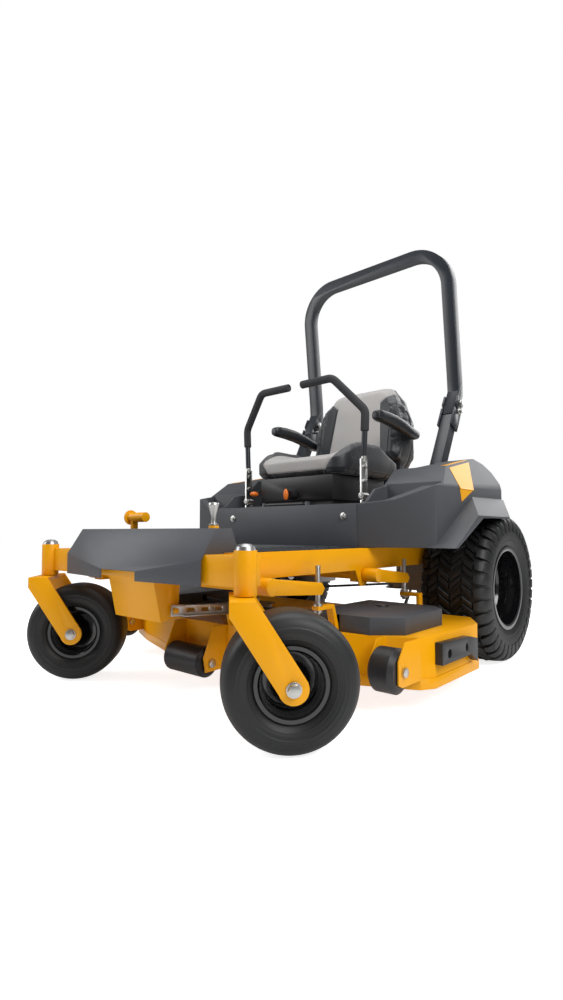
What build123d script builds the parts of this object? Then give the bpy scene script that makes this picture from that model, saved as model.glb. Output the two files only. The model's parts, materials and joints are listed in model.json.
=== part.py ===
from build123d import *
import math
import os

os.makedirs("parts", exist_ok=True)

# Zero turn mower, millimetres. x is to the operator's left, y to the rear, z up.
# Everything is drawn from the point on the ground under the middle of the drive axle.

# ---- driving dimensions -------------------------------------------------------------
WHEELBASE = 1317.0          # drive axle to the caster swivel axes
REAR_TRACK = 1082.0         # between the middles of the drive tyres
CASTER_TRACK = 994.0        # between the caster swivel axes

DRIVE_TYRE_R = 292.0
DRIVE_TYRE_W = 267.0
DRIVE_RIM_R = 152.0         # bead seat
DRIVE_RIM_LIP = 165.0
LUG_COUNT = 5
LUG_CIRCLE_R = 57.0

CASTER_TYRE_R = 165.0
CASTER_TYRE_W = 165.0
CASTER_RIM_R = 80.0
CASTER_RIM_LIP = 89.0
CASTER_TRAIL = 105.0
CASTER_YAW = -43.2          # both casters at rest, degrees about +z
FORK_ARM_GAP = 190.0        # between the fork's arms
FORK_ARM_T = 10.0
FORK_ARM_W = 62.0
STEM_R = 16.0
AXLE_BOLT_R = 10.0

RAIL_OUTER = 400.0          # half width over the side rails
RAIL_W = 50.0
RAIL_TOP = 458.0
RAIL_H = 73.0
TUBE_WALL = 5.0
BEAM_D = 66.0               # front cross beam, front to back
BEAM_H = 77.0
HEAD_TUBE_R = 28.5
HEAD_TUBE_TOP = 470.0
BEARING_R = 23.0
BEARING_H = 20.0
FRAME_REAR = 520.0

COVER_SIDE_GAP = 3.0        # between the cover's sides and the rails
COVER_TOP = 524.0
COVER_BOTTOM = 374.0
COVER_NOTCH = 90.0
COVER_RAKE = 0.65           # how far the front panel leans, y over z
SHEET = 3.0

SEAT_BOX_FRONT = -643.0
SEAT_BOX_HALF = 365.0
SEAT_BOX_TOP = 615.0
SEAT_BOX_REAR = -120.0

FENDER_BOTTOM = 460.0
FENDER_OUT = 684.0          # lip over the drive tyre
FENDER_TOP = 812.0
FENDER_LEAN = 0.439             # inward lean of the tower side per mm of height
FENDER_WAIST = 671.0
FLARE_FALL = 0.975              # fall of the flare per mm outwards
FENDER_WALL = 6.0

ROPS_TUBE = 51.0
ROPS_HALF = 398.0           # middle of each leg
ROPS_TOP = 1832.0
ROPS_CORNER_R = 170.0       # on the tube's middle line
ROPS_LEAN = 5.86            # upper hoop leans forward
POST_LEAN = 28.4            # lower posts lean back
ROPS_EAR_T = 8.0
POST_TUBE_Z = 525.0         # below this the post is cut back to clear the tyre
HINGE_BOLT_R = 9.0
LOCK_PIN_R = 6.5
LOCK_PIN_DROP = 45.0        # lock pin below the hinge bolt, along the post

DECK_HALF = 712.0
DECK_TOP = 212.0
DECK_BOTTOM = 72.0
DECK_WALL = 5.0
DECK_REAR = -335.0
DECK_NOSE = -1018.0
BLADE_LEN = 470.0
SPINDLE_X = 452.0
SPINDLE_Y = -620.0
SPINDLE_FORWARD = 150.0     # middle spindle ahead of the outer two
PULLEY_R = 61.0             # groove bottom
BELT_T = 10.0
BELT_H = 11.0
BELT_Z = 235.0
SHAFT_R = 15.0
GAUGE_WHEEL_R = 62.0
GAUGE_WHEEL_W = 80.0
ROLLER_R = 48.0

ENGINE_Y = 300.0
CRANK_R = 14.0

SEAT_HALF = 250.0
SEAT_FRONT = -560.0
SEAT_BACK_Y = -64.0
SEAT_PAN_TOP = 744.0
CUSHION_TOP = 826.0
BACKREST_TOP = 1210.0
ARM_PIVOT_Y = -20.0
ARM_PIVOT_Z = 950.0

LEVER_X = 306.0
LEVER_Y = -500.0
LEVER_PIVOT_Z = 560.0
SWING_Z = 650.0
BAR_R = 11.0
GRIP_R = 14.0

# ---- clearances ---------------------------------------------------------------------
RUN = 0.05                  # radial, running fit
GAP = 0.3                   # between neighbouring faces
LOOSE = 1.0                 # where one piece passes another

# ---- worked out ---------------------------------------------------------------------
FRONT = -WHEELBASE
SWIVEL_X = CASTER_TRACK / 2
RAIL_INNER = RAIL_OUTER - RAIL_W
COVER_HALF_W = RAIL_INNER - COVER_SIDE_GAP
RAIL_BOTTOM = RAIL_TOP - RAIL_H
BEAM_TOP = RAIL_TOP - 3.0
BEAM_FRONT = FRONT + 40.0 - COVER_RAKE * (COVER_TOP - BEAM_TOP) + SHEET * 1.4
BEAM_REAR = BEAM_FRONT + BEAM_D
BEAM_BOTTOM = BEAM_TOP - BEAM_H
CROWN_TOP = HEAD_TUBE_TOP - 111.0
HEAD_TUBE_BOTTOM = CROWN_TOP + 2.0
WHEEL_X = REAR_TRACK / 2
SPINDLES = [
    (SPINDLE_X, SPINDLE_Y),
    (0.0, SPINDLE_Y - SPINDLE_FORWARD),
    (-SPINDLE_X, SPINDLE_Y),
]


# ---- shapes -------------------------------------------------------------------------
def block(x0, x1, y0, y1, z0, z1):
    middle = Pos((x0 + x1) / 2, (y0 + y1) / 2, (z0 + z1) / 2)
    return middle * Box(abs(x1 - x0), abs(y1 - y0), abs(z1 - z0))


def rod_x(x0, x1, y, z, r):
    return Pos((x0 + x1) / 2, y, z) * Rot(0, 90, 0) * Cylinder(r, abs(x1 - x0))


def rod_y(x, y0, y1, z, r):
    return Pos(x, (y0 + y1) / 2, z) * Rot(90, 0, 0) * Cylinder(r, abs(y1 - y0))


def rod_z(x, y, z0, z1, r):
    return Pos(x, y, (z0 + z1) / 2) * Cylinder(r, abs(z1 - z0))


def hex_x(x0, x1, y, z, r):
    face = Plane(origin=(x0, y, z), x_dir=(0, 1, 0), z_dir=(1, 0, 0)) * RegularPolygon(r, 6)
    return extrude(face, x1 - x0)


def side_plate(points, x0, x1):
    """A plate from a (y, z) outline, between x0 and x1."""
    face = Plane(origin=(x0, 0, 0), x_dir=(0, 1, 0), z_dir=(1, 0, 0)) * Polygon(*points, align=None)
    return extrude(face, x1 - x0, dir=(1, 0, 0))


def front_plate(points, y0, y1):
    """A plate from an (x, z) outline, between y0 and y1."""
    face = Plane(origin=(0, y0, 0), x_dir=(1, 0, 0), z_dir=(0, -1, 0)) * Polygon(*points, align=None)
    return extrude(face, y1 - y0, dir=(0, 1, 0))


def flat_plate(points, z0, z1):
    """A plate from an (x, y) outline, between z0 and z1."""
    return extrude(Pos(0, 0, z0) * Polygon(*points, align=None), z1 - z0, dir=(0, 0, 1))


def turned(points):
    """A body turned about the x axis from an (x, radius) outline."""
    face = Polygon(*points, align=None)
    return revolve(face, Axis.X)


def turned_z(points):
    """A body turned about the z axis from a (radius, z) outline."""
    face = Plane.XZ * Polygon(*points, align=None)
    return revolve(face, Axis.Z)


def panel(points, thickness, inward):
    """A flat sheet from corners in space, thickened towards the inward direction."""
    face = Face(Wire.make_polygon([Vector(*p) for p in points], close=True))
    normal = face.normal_at()
    if normal.dot(Vector(*inward)) < 0:
        normal = -normal
    return extrude(face, amount=thickness, dir=normal)


def other_side(shape):
    return mirror(shape, Plane.YZ)


def both(shape):
    return shape + other_side(shape)


# ---- frame --------------------------------------------------------------------------
FLOOR_Y0 = FRONT + 127.0
LIFT_ARM = 216.0            # front rockshaft to its hanger rods, fore and aft
ROD_FRONT_Y = DECK_NOSE + 59.0
ROD_REAR_Y = -445.0
ROCK_FRONT = (ROD_FRONT_Y - LIFT_ARM, 367.0)
ROCK_REAR = (-643.0, 367.0)
ROCK_R = 17.0
PEDAL_X = -300.0
PEDAL_Y = FRONT + 217.0
PEDAL_Z = 415.0
PEDAL_PIN_R = 9.0
HEIGHT_POST = (255.0, FRONT + 112.0)
HEIGHT_PIN_R = 8.0
NOSE_HALF = 118.0
STRUT_PIVOT = (FRONT + 76.0, 283.0)
STRUT_X = 126.0
HITCH_R = 12.5
HITCH_Y = FRAME_REAR + 65.0
PLATE_TOP = 452.0
HINGE_Y = -600.0            # seat plate hinge
HINGE_Z = SEAT_BOX_TOP + 8.0


def side_rail():
    rail = block(RAIL_INNER, RAIL_OUTER, BEAM_REAR, FRAME_REAR, RAIL_BOTTOM, RAIL_TOP)
    inside = block(
        RAIL_INNER + TUBE_WALL,
        RAIL_OUTER - TUBE_WALL,
        BEAM_REAR,
        FRAME_REAR,
        RAIL_BOTTOM + TUBE_WALL,
        RAIL_TOP - TUBE_WALL,
    )
    rail -= inside
    for y, z in (ROCK_FRONT, ROCK_REAR):
        ear = block(RAIL_INNER + 5, RAIL_OUTER - 5, y - 25, y + 25, z - 24, RAIL_BOTTOM)
        rail += ear - rod_x(RAIL_INNER, RAIL_OUTER, y, z, ROCK_R + RUN)
    gusset = [(-700, RAIL_BOTTOM), (-590, RAIL_BOTTOM), (-640, 330), (-672, 330)]
    shaft_hole = rod_x(RAIL_INNER, RAIL_OUTER + 1, *ROCK_REAR, ROCK_R + LOOSE)
    rail += side_plate(gusset, RAIL_OUTER - 5, RAIL_OUTER) - shaft_hole
    return rail


def cross_beam():
    end = SWIVEL_X - 12.0
    beam = block(-end, end, BEAM_FRONT, BEAM_REAR, BEAM_BOTTOM, BEAM_TOP)
    beam -= block(
        -end + 40,
        end - 40,
        BEAM_FRONT + TUBE_WALL,
        BEAM_REAR - TUBE_WALL,
        BEAM_BOTTOM + TUBE_WALL,
        BEAM_TOP - TUBE_WALL,
    )
    for side in (1, -1):
        beam += rod_z(side * SWIVEL_X, FRONT, HEAD_TUBE_BOTTOM, HEAD_TUBE_TOP, HEAD_TUBE_R)
    for side in (1, -1):
        beam -= rod_z(side * SWIVEL_X, FRONT, HEAD_TUBE_BOTTOM, HEAD_TUBE_TOP, BEARING_R)
    return beam


def nose_box():
    """Folded yellow bracket under the beam that carries the deck's strut."""
    top, bottom = BEAM_BOTTOM, 252.0
    front_top, front_bottom = FRONT + 5.0, FRONT + 33.0
    outline = [(front_top, top), (front_bottom, bottom), (FRONT + 95, 262.0), (FRONT + 102, top)]
    inner = [(front_top + 5, top), (front_bottom + 5, bottom), (FRONT + 96, 200.0), (FRONT + 140, top)]
    box = side_plate(outline, -NOSE_HALF, NOSE_HALF)
    box -= side_plate(inner, -NOSE_HALF + 5, NOSE_HALF - 5)
    box -= rod_x(0, NOSE_HALF + 1, *STRUT_PIVOT, 6.0)
    box += rod_x(NOSE_HALF - 5, STRUT_X + 12, *STRUT_PIVOT, 8.0)
    return box


def rear_frame():
    """Cross members, engine plate, rear bumper, guard and hitch plate."""
    members = block(-RAIL_INNER, RAIL_INNER, -40, 36, RAIL_BOTTOM, RAIL_TOP - 8)
    members += block(-RAIL_INNER, RAIL_INNER, -600, -550, RAIL_BOTTOM + 20, RAIL_TOP - 3)
    members += block(-RAIL_INNER, RAIL_INNER, 90, 460, PLATE_TOP - 6, PLATE_TOP)
    members -= rod_z(0, ENGINE_Y, PLATE_TOP - 7, PLATE_TOP + 1, 60)
    bumper = block(-RAIL_OUTER, RAIL_OUTER, FRAME_REAR, FRAME_REAR + 40, RAIL_BOTTOM, RAIL_TOP - 13)
    bumper += block(-60, 60, FRAME_REAR + 40, FRAME_REAR + 90, RAIL_BOTTOM, RAIL_BOTTOM + 8)
    bumper -= rod_z(0, HITCH_Y, RAIL_BOTTOM - 1, RAIL_BOTTOM + 9, HITCH_R)
    guard = block(330, 370, FRAME_REAR, FRAME_REAR + 40, RAIL_TOP - 13, 700)
    bumper += both(guard)
    bumper += block(-370, 370, FRAME_REAR, FRAME_REAR + 40, 660, 700)
    return members + bumper


def main_frame():
    frame = cross_beam() + both(side_rail()) + nose_box() + rear_frame()
    frame += rod_x(-RAIL_INNER, PEDAL_X + 34, PEDAL_Y, PEDAL_Z, PEDAL_PIN_R)
    post_x, post_y = HEIGHT_POST
    shelf = block(post_x - 28, post_x + 28, BEAM_REAR, post_y + 20, RAIL_TOP - 24, RAIL_TOP - 18)
    post = rod_z(post_x, post_y, RAIL_TOP - 18, COVER_TOP + 8, HEIGHT_PIN_R + 7)
    bore = rod_z(post_x, post_y, RAIL_TOP - 30, COVER_TOP + 9, HEIGHT_PIN_R + RUN)
    return frame + (shelf + post - bore)


def cover_y(z):
    """The slanted front panel's y at a height."""
    return FRONT + 40.0 - COVER_RAKE * (COVER_TOP - z)


def cover_flange_y(x):
    return FRONT - 14.0 - (COVER_HALF_W - abs(x)) * 0.0984


def cover_fold_z(x):
    return COVER_TOP - (FRONT + 40.0 - cover_flange_y(x)) / COVER_RAKE


def front_cover():
    """Bent sheet that hides the front beam, open below and behind."""
    w, notch = COVER_HALF_W, COVER_NOTCH
    fold_out, fold_in = cover_fold_z(w), cover_fold_z(notch)
    corners = [
        (-w, cover_y(COVER_TOP), COVER_TOP),
        (w, cover_y(COVER_TOP), COVER_TOP),
        (w, cover_y(fold_out), fold_out),
        (notch, cover_y(fold_in), fold_in),
        (-notch, cover_y(fold_in), fold_in),
        (-w, cover_y(fold_out), fold_out),
    ]
    cover = panel(corners, SHEET, (0, 1, 0))
    flange = panel(
        [
            (w, cover_flange_y(w), fold_out),
            (w, cover_flange_y(w), COVER_BOTTOM),
            (notch, cover_flange_y(notch), COVER_BOTTOM),
            (notch, cover_flange_y(notch), fold_in),
        ],
        SHEET,
        (0, 1, 0),
    )
    sill = BEAM_TOP + GAP
    side = side_plate(
        [
            (cover_y(COVER_TOP), COVER_TOP),
            (FRONT + 96, COVER_TOP),
            (FRONT + 124, sill),
            (cover_y(sill) + 1, sill),
        ],
        w - SHEET,
        w,
    )
    cover += both(flange) + both(side)
    cover += block(-w, w, cover_y(COVER_TOP), FRONT + 96, COVER_TOP - SHEET, COVER_TOP)
    return cover


def floor_pan():
    """Foot platform on the rails, with raised treads."""
    half = RAIL_OUTER - 15.0
    pan = block(-half, half, FLOOR_Y0, SEAT_BOX_FRONT - GAP, RAIL_TOP, RAIL_TOP + SHEET)
    pitch = (SEAT_BOX_FRONT - FLOOR_Y0 - 80.0) / 7
    for row in range(8):
        y = FLOOR_Y0 + 40.0 + row * pitch
        pan += block(-half + 110, half - 60, y - 6, y + 6, RAIL_TOP + SHEET, RAIL_TOP + SHEET + 3)
    pan -= block(PEDAL_X - 14, PEDAL_X + 14, PEDAL_Y - 60, PEDAL_Y + 60, RAIL_TOP - 1, RAIL_TOP + 9)
    return pan


def seat_box():
    """Charcoal sheet box that carries the seat and the control levers."""
    half, top = SEAT_BOX_HALF, SEAT_BOX_TOP
    box = block(-half, half, SEAT_BOX_FRONT, SEAT_BOX_REAR, RAIL_TOP, top)
    box -= block(-half + SHEET, half - SHEET, SEAT_BOX_FRONT + SHEET, SEAT_BOX_REAR, RAIL_TOP, top - SHEET)
    for side in (1, -1):
        x = side * LEVER_X
        box -= block(x - 22, x + 22, LEVER_Y - 75, LEVER_Y + 60, top - 5, top + 1)
        box += rod_x(side * (LEVER_X - 14), side * (half - 1), LEVER_Y, LEVER_PIVOT_Z, 8.0)
        box += block(side * 110, side * 118, HINGE_Y - 10, HINGE_Y + 10, top - SHEET, HINGE_Z + 8)
    box -= block(-200, 200, -500, -200, top - 5, top + 1)
    box += rod_x(-118, 118, HINGE_Y, HINGE_Z, 4.0)
    return box


# ---- fenders ------------------------------------------------------------------------
TOWER_INNER = ROPS_HALF + ROPS_TUBE / 2 + 10.0


def leaning_side(x, y_front, y_rear):
    """Everything outside the tower's leaning side, which passes through x at the waist."""
    top = FENDER_TOP + 1
    x_top = x - FENDER_LEAN * (top - FENDER_WAIST)
    return front_plate([(x, FENDER_WAIST), (x_top, top), (720, top), (720, FENDER_WAIST)], y_front, y_rear)


def fender_flare():
    """Sloping strip from the side wall out to the lip over the drive tyre."""
    bottom, wall_x, wall_z = FENDER_BOTTOM, 604.0, 650.0
    lip_z = wall_z - FLARE_FALL * (FENDER_OUT - wall_x)
    under = lip_z - 7.0
    side = [(-525, bottom), (-545, bottom), (-214, wall_z), (125, wall_z), (125, under), (-300, under)]
    flare = side_plate(side, 580, FENDER_OUT)
    far = FENDER_OUT + 16
    far_z = wall_z - FLARE_FALL * (far - wall_x)
    above = wall_z + 10
    flare -= front_plate([(wall_x, wall_z), (far, far_z), (far, above), (wall_x, above)], -700, 300)
    edge_x = FENDER_OUT - 8
    edge_z = wall_z - 8 - FLARE_FALL * (edge_x - wall_x)
    low, roof = under - 10, wall_z - 8
    hollow = [(570, low), (570, roof), (wall_x, roof), (edge_x, edge_z), (edge_x, low)]
    flare -= front_plate(hollow, -160, 300)
    flare -= flat_plate([(FENDER_OUT + 1, -40), (600, 128), (FENDER_OUT + 1, 128)], under - 1, wall_z + 1)
    return flare


def fender():
    """Left moulded fender: storage pocket ahead, tower above the tyre, flared lip."""
    inner, bottom, lip_z = SEAT_BOX_HALF + GAP, FENDER_BOTTOM, 603.0
    wall = FENDER_WALL
    plan = [(inner, SEAT_BOX_FRONT + 3), (610, -528), (604, 100), (566, 150), (inner, 150)]
    crest = [
        (-660, bottom),
        (-660, 606),
        (-585, 625),
        (-530, FENDER_WAIST),
        (-460, 684),
        (-375, 753),
        (-61, FENDER_TOP),
        (20, 797),
        (80, 765),
        (135, 690),
        (150, lip_z),
        (-230, lip_z),
        (-520, bottom),
    ]
    body = flat_plate(plan, bottom, FENDER_TOP) & side_plate(crest, inner, FENDER_OUT)
    body -= leaning_side(612, -700, 300)
    body -= block(inner - 1, TOWER_INNER, -330, 300, bottom - 1, FENDER_TOP + 1)
    cavity_crest = [
        (-430, lip_z - 40),
        (-430, 680),
        (-375, 745),
        (-61, FENDER_TOP - 8),
        (16, 789),
        (74, 758),
        (127, 686),
        (142, lip_z - 40),
    ]
    cavity = side_plate(cavity_crest, TOWER_INNER + wall, 596 - wall)
    cavity -= leaning_side(602, -700, 300)
    cavity &= flat_plate([(400, -430), (620, -430), (598, 92), (560, 144), (400, 144)], bottom, FENDER_TOP)
    body -= cavity
    body -= flat_plate([(inner + 12, -618), (594, -514), (594, -450), (inner + 12, -450)], 520, 760)
    return body + fender_flare()


# ---- roll bar -----------------------------------------------------------------------
POST_RUN = math.tan(math.radians(POST_LEAN))
POST_UP = (math.sin(math.radians(POST_LEAN)), math.cos(math.radians(POST_LEAN)))
POST_FORE = (-POST_UP[1], POST_UP[0])
POST_MID = (75.4, 1052.9)                       # a point on the post's middle line
HINGE_S = 40.0
STUB_S = -30.0


def post_point(along, fore):
    """(y, z) at a distance up the post's middle line and ahead of it."""
    return (
        POST_MID[0] + along * POST_UP[0] + fore * POST_FORE[0],
        POST_MID[1] + along * POST_UP[1] + fore * POST_FORE[1],
    )


ROPS_HINGE = post_point(HINGE_S, 0)
ROPS_LOCK = post_point(HINGE_S - LOCK_PIN_DROP, 0)


def tube_side():
    half = ROPS_TUBE / 2
    return ROPS_HALF - half, ROPS_HALF + half


def rops_post():
    """One lower post with its foot and the two hinge ears."""
    half = ROPS_TUBE / 2
    x0, x1 = tube_side()
    drop = math.hypot(HINGE_S - STUB_S, half) + 1.5
    top = HINGE_S - drop
    foot = (RAIL_TOP + 9.0 - POST_MID[1]) / POST_UP[1]
    outline = [
        post_point(top, half),
        post_point(top, -half),
        post_point(foot - 20, -half),
        post_point(foot + 10, half),
    ]
    post = side_plate(outline, x0, x1) & block(x0, x1, -400, 300, POST_TUBE_Z, 1200)
    post += side_plate(outline, x0, RAIL_OUTER) & block(x0, x1, -400, 300, RAIL_TOP, POST_TUBE_Z + 10)
    foot_y = post_point(foot, 0)[0]
    foot_in = SEAT_BOX_HALF + LOOSE
    post += block(foot_in, RAIL_OUTER, foot_y - 60, foot_y + 60, RAIL_TOP, RAIL_TOP + 8)
    ear_outline = [post_point(-95, 32), post_point(66, 32), post_point(66, -32), post_point(-95, -32)]
    for ear_x in (x0 - LOOSE / 2 - ROPS_EAR_T, x1 + LOOSE / 2):
        ear = side_plate(ear_outline, ear_x, ear_x + ROPS_EAR_T)
        ear -= rod_x(ear_x - 1, ear_x + 9, *ROPS_HINGE, HINGE_BOLT_R + RUN)
        ear -= lock_slot(ear_x)
        post += ear
    lug = [
        post_point(-95, half - 1),
        post_point(top - 1, half - 1),
        post_point(top - 1, 1 - half),
        post_point(-95, 1 - half),
    ]
    for lug_x in (x0 - LOOSE, x1 - LOOSE):
        post += side_plate(lug, lug_x, lug_x + 2 * LOOSE)
    return post


def lock_slot(ear_x):
    """Slot that lets the lock pin leave the ear towards the front as the hoop folds."""
    outer = LOCK_PIN_DROP + LOCK_PIN_R + LOOSE
    inner = LOCK_PIN_DROP - LOCK_PIN_R - LOOSE
    ring = rod_x(ear_x - 1, ear_x + 9, *ROPS_HINGE, outer)
    ring -= rod_x(ear_x - 2, ear_x + 10, *ROPS_HINGE, inner)
    reach = 80.0
    ahead = [post_point(-60, 0), post_point(-60, reach), post_point(HINGE_S, reach), post_point(HINGE_S, 0)]
    slot = ring & side_plate(ahead, ear_x - 1, ear_x + 9)
    return slot + rod_x(ear_x - 1, ear_x + 9, *ROPS_LOCK, LOCK_PIN_R + LOOSE)


def hoop_face_y(z):
    return 74.75 - math.tan(math.radians(ROPS_LEAN)) * (z - 1400.0)


def rops_hoop():
    """Folding upper hoop of square tube, kinked above its hinge."""
    half = ROPS_TUBE / 2
    x0, x1 = tube_side()
    knee_z = 1200.0
    rear = ROPS_TUBE / math.cos(math.radians(ROPS_LEAN))
    lower = [
        post_point(STUB_S, half),
        post_point(HINGE_S + 55, half),
        (hoop_face_y(knee_z), knee_z),
        (hoop_face_y(knee_z) + rear, knee_z),
        post_point(HINGE_S + 68, -half),
        post_point(STUB_S, -half),
    ]
    leg = side_plate(lower, x0, x1)
    leg -= rod_x(x0 - 1, x1 + 1, *ROPS_HINGE, HINGE_BOLT_R + RUN)
    leg -= rod_x(x0 - 1, x1 + 1, *ROPS_LOCK, LOCK_PIN_R + RUN)
    tilt = Pos(0, hoop_face_y(knee_z) + rear / 2, knee_z) * Rot(ROPS_LEAN, 0, 0)
    rise = (ROPS_TOP - knee_z) / math.cos(math.radians(ROPS_LEAN)) - half
    corner = rise - ROPS_CORNER_R
    arch = both(block(x0, x1, -half, half, -3, corner))
    straight = ROPS_HALF - ROPS_CORNER_R
    arch += block(-straight, straight, -half, half, rise - half, rise + half)
    ring = rod_y(0, -half, half, 0, ROPS_CORNER_R + half) - rod_y(0, -half, half, 0, ROPS_CORNER_R - half)
    quarter = ring & block(0, 400, -half, half, 0, 400)
    arch += both(Pos(ROPS_HALF - ROPS_CORNER_R, 0, corner) * quarter)
    return both(leg) + tilt * arch


def rops_hinge_bolts():
    x0, x1 = tube_side()
    out = x1 + LOOSE / 2 + ROPS_EAR_T
    into = x0 - LOOSE / 2 - ROPS_EAR_T
    bolt = rod_x(into - 12, out, *ROPS_HINGE, HINGE_BOLT_R)
    bolt += hex_x(out + GAP, out + 11, *ROPS_HINGE, 16) + rod_x(out, out + 1, *ROPS_HINGE, HINGE_BOLT_R)
    bolt += hex_x(into - 12, into - GAP, *ROPS_HINGE, 16)
    return both(bolt)


def rops_lock_pins():
    """Hitch pins with a grip loop outside and a clip inside."""
    x0, x1 = tube_side()
    out = x1 + LOOSE / 2 + ROPS_EAR_T
    into = x0 - LOOSE / 2 - ROPS_EAR_T
    pin = rod_x(into - 16, out + 18, *ROPS_LOCK, LOCK_PIN_R)
    pin += rod_x(out + LOOSE, out + 5, *ROPS_LOCK, 12)
    pin += rod_x(out + 12, out + 18, *ROPS_LOCK, 11)
    y, z = ROPS_LOCK
    pin += block(into - 12, into - 8, y - 13, y + 13, z - 3, z + 3)
    return both(pin)


# ---- casters ------------------------------------------------------------------------
def caster_place(side):
    return Pos(side * SWIVEL_X, FRONT, 0) * Rot(0, 0, CASTER_YAW)


def caster_wheel_place(side):
    return caster_place(side) * Pos(0, CASTER_TRAIL, CASTER_TYRE_R)


def caster_fork():
    """Stem, crown and two flat arms, drawn with the trail along +y."""
    arm_x = FORK_ARM_GAP / 2
    hub_y, hub_z = CASTER_TRAIL, CASTER_TYRE_R
    half = FORK_ARM_W / 2
    outline = [
        (-39, CROWN_TOP),
        (22, CROWN_TOP),
        (hub_y + half + 2, hub_z + 14),
        (hub_y - half + 2, hub_z - 18),
        (-39, CROWN_TOP - 34),
    ]
    arm = side_plate(outline, arm_x, arm_x + FORK_ARM_T)
    arm += rod_x(arm_x, arm_x + FORK_ARM_T, hub_y, hub_z, half + 4)
    arm -= rod_x(arm_x - 1, arm_x + FORK_ARM_T + 1, hub_y, hub_z, AXLE_BOLT_R + GAP)
    fork = both(arm)
    fork += block(-arm_x, arm_x, -39, 22, CROWN_TOP - 12, CROWN_TOP)
    fork += rod_z(0, 0, CROWN_TOP, HEAD_TUBE_TOP + 3, STEM_R)
    return fork


def caster_axle():
    reach = FORK_ARM_GAP / 2 + FORK_ARM_T
    axle = rod_x(-reach - 14, reach + 14, 0, 0, AXLE_BOLT_R)
    washer = rod_x(reach + GAP, reach + 3, 0, 0, 18) + hex_x(reach + 3, reach + 14, 0, 0, 15)
    return axle + both(washer)


def caster_tyre():
    r, w, bead = CASTER_TYRE_R, CASTER_TYRE_W / 2, CASTER_RIM_R + GAP
    outline = [
        (-62, bead),
        (62, bead),
        (62, CASTER_RIM_LIP + 1),
        (67, CASTER_RIM_LIP + 12),
        (w - 4, r - 52),
        (w, r - 38),
        (w - 4, r - 19),
        (w - 20, r - 6),
        (w - 45, r),
        (45 - w, r),
        (20 - w, r - 6),
        (4 - w, r - 19),
        (-w, r - 38),
        (4 - w, r - 52),
        (-67, CASTER_RIM_LIP + 12),
        (-62, CASTER_RIM_LIP + 1),
    ]
    return turned(outline)


def caster_rim():
    """Two-flange rim with a disc and a bored hub."""
    r, lip, hub = CASTER_RIM_R, CASTER_RIM_LIP, FORK_ARM_GAP / 2 - 6
    outline = [
        (-66, r - 6),
        (66, r - 6),
        (66, lip),
        (62.5, lip),
        (62.5, r),
        (-62.5, r),
        (-62.5, lip),
        (-66, lip),
    ]
    disc = turned([(-4, 0), (4, 0), (4, r - 5), (-4, r - 5)])
    rim = turned(outline) + disc + rod_x(-hub, hub, 0, 0, 24)
    return rim - rod_x(-hub - 1, hub + 1, 0, 0, AXLE_BOLT_R + RUN)


def caster_bearings():
    """Bearing rings and dust caps of both head tubes."""
    stack = Part() + []
    for side in (1, -1):
        for z in (HEAD_TUBE_BOTTOM + 1, HEAD_TUBE_TOP - BEARING_H - 1):
            ring = rod_z(side * SWIVEL_X, FRONT, z, z + BEARING_H, BEARING_R - 0.02)
            stack += ring - rod_z(side * SWIVEL_X, FRONT, z, z + BEARING_H, STEM_R + RUN)
        top = HEAD_TUBE_TOP
        dome = [(0, top + 17), (14, top + 15), (23, top + 9), (26, top)]
        hollow = [(20, top), (18, top + 8), (0, top + 8)]
        stack += Pos(side * SWIVEL_X, FRONT, 0) * turned_z(dome + hollow)
    return stack


# ---- drive wheels -------------------------------------------------------------------
def drive_tyre():
    r, w, bead = DRIVE_TYRE_R, DRIVE_TYRE_W / 2, DRIVE_RIM_R + GAP
    outline = [
        (-115, bead),
        (115, bead),
        (115, DRIVE_RIM_LIP + 1),
        (121, DRIVE_RIM_LIP + 12),
        (w - 3, r - 80),
        (w, r - 55),
        (w - 4, r - 26),
        (w - 20, r - 8),
        (w - 60, r),
        (60 - w, r),
        (20 - w, r - 8),
        (4 - w, r - 26),
        (-w, r - 55),
        (3 - w, r - 80),
        (-121, DRIVE_RIM_LIP + 12),
        (-115, DRIVE_RIM_LIP + 1),
    ]
    return turned(outline)


HUB_FACE = -14.0            # disc's inner face from the tyre's middle, outward positive
AXLE_R = 19.0
AXLE_TIP = WHEEL_X + HUB_FACE - 2.0


def drive_rim():
    """Deep dish rim with hub and lug nuts; +x is outward."""
    r, lip = DRIVE_RIM_R, DRIVE_RIM_LIP
    barrel = [
        (-119, r - 6),
        (119, r - 6),
        (119, lip),
        (115.5, lip),
        (115.5, r),
        (-115.5, r),
        (-115.5, lip),
        (-119, lip),
    ]
    disc = [
        (HUB_FACE, 30),
        (HUB_FACE + 6, 30),
        (HUB_FACE + 6, 95),
        (22, 128),
        (22, r - 5),
        (15, r - 5),
        (15, 130),
        (HUB_FACE, 98),
    ]
    rim = turned(barrel) + turned(disc)
    hub = rod_x(HUB_FACE - 14, HUB_FACE - GAP, 0, 0, 80) + rod_x(HUB_FACE - 60, HUB_FACE - 14, 0, 0, 34)
    hub += rod_x(HUB_FACE - 1, HUB_FACE + 20, 0, 0, 29)
    hub -= rod_x(HUB_FACE - 61, HUB_FACE - 1, 0, 0, AXLE_R + RUN)
    rim += hub
    for lug in range(LUG_COUNT):
        angle = 2 * math.pi * lug / LUG_COUNT
        y, z = LUG_CIRCLE_R * math.cos(angle), LUG_CIRCLE_R * math.sin(angle)
        rim += hex_x(HUB_FACE + 6 + GAP, HUB_FACE + 22, y, z, 11)
    return rim


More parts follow.
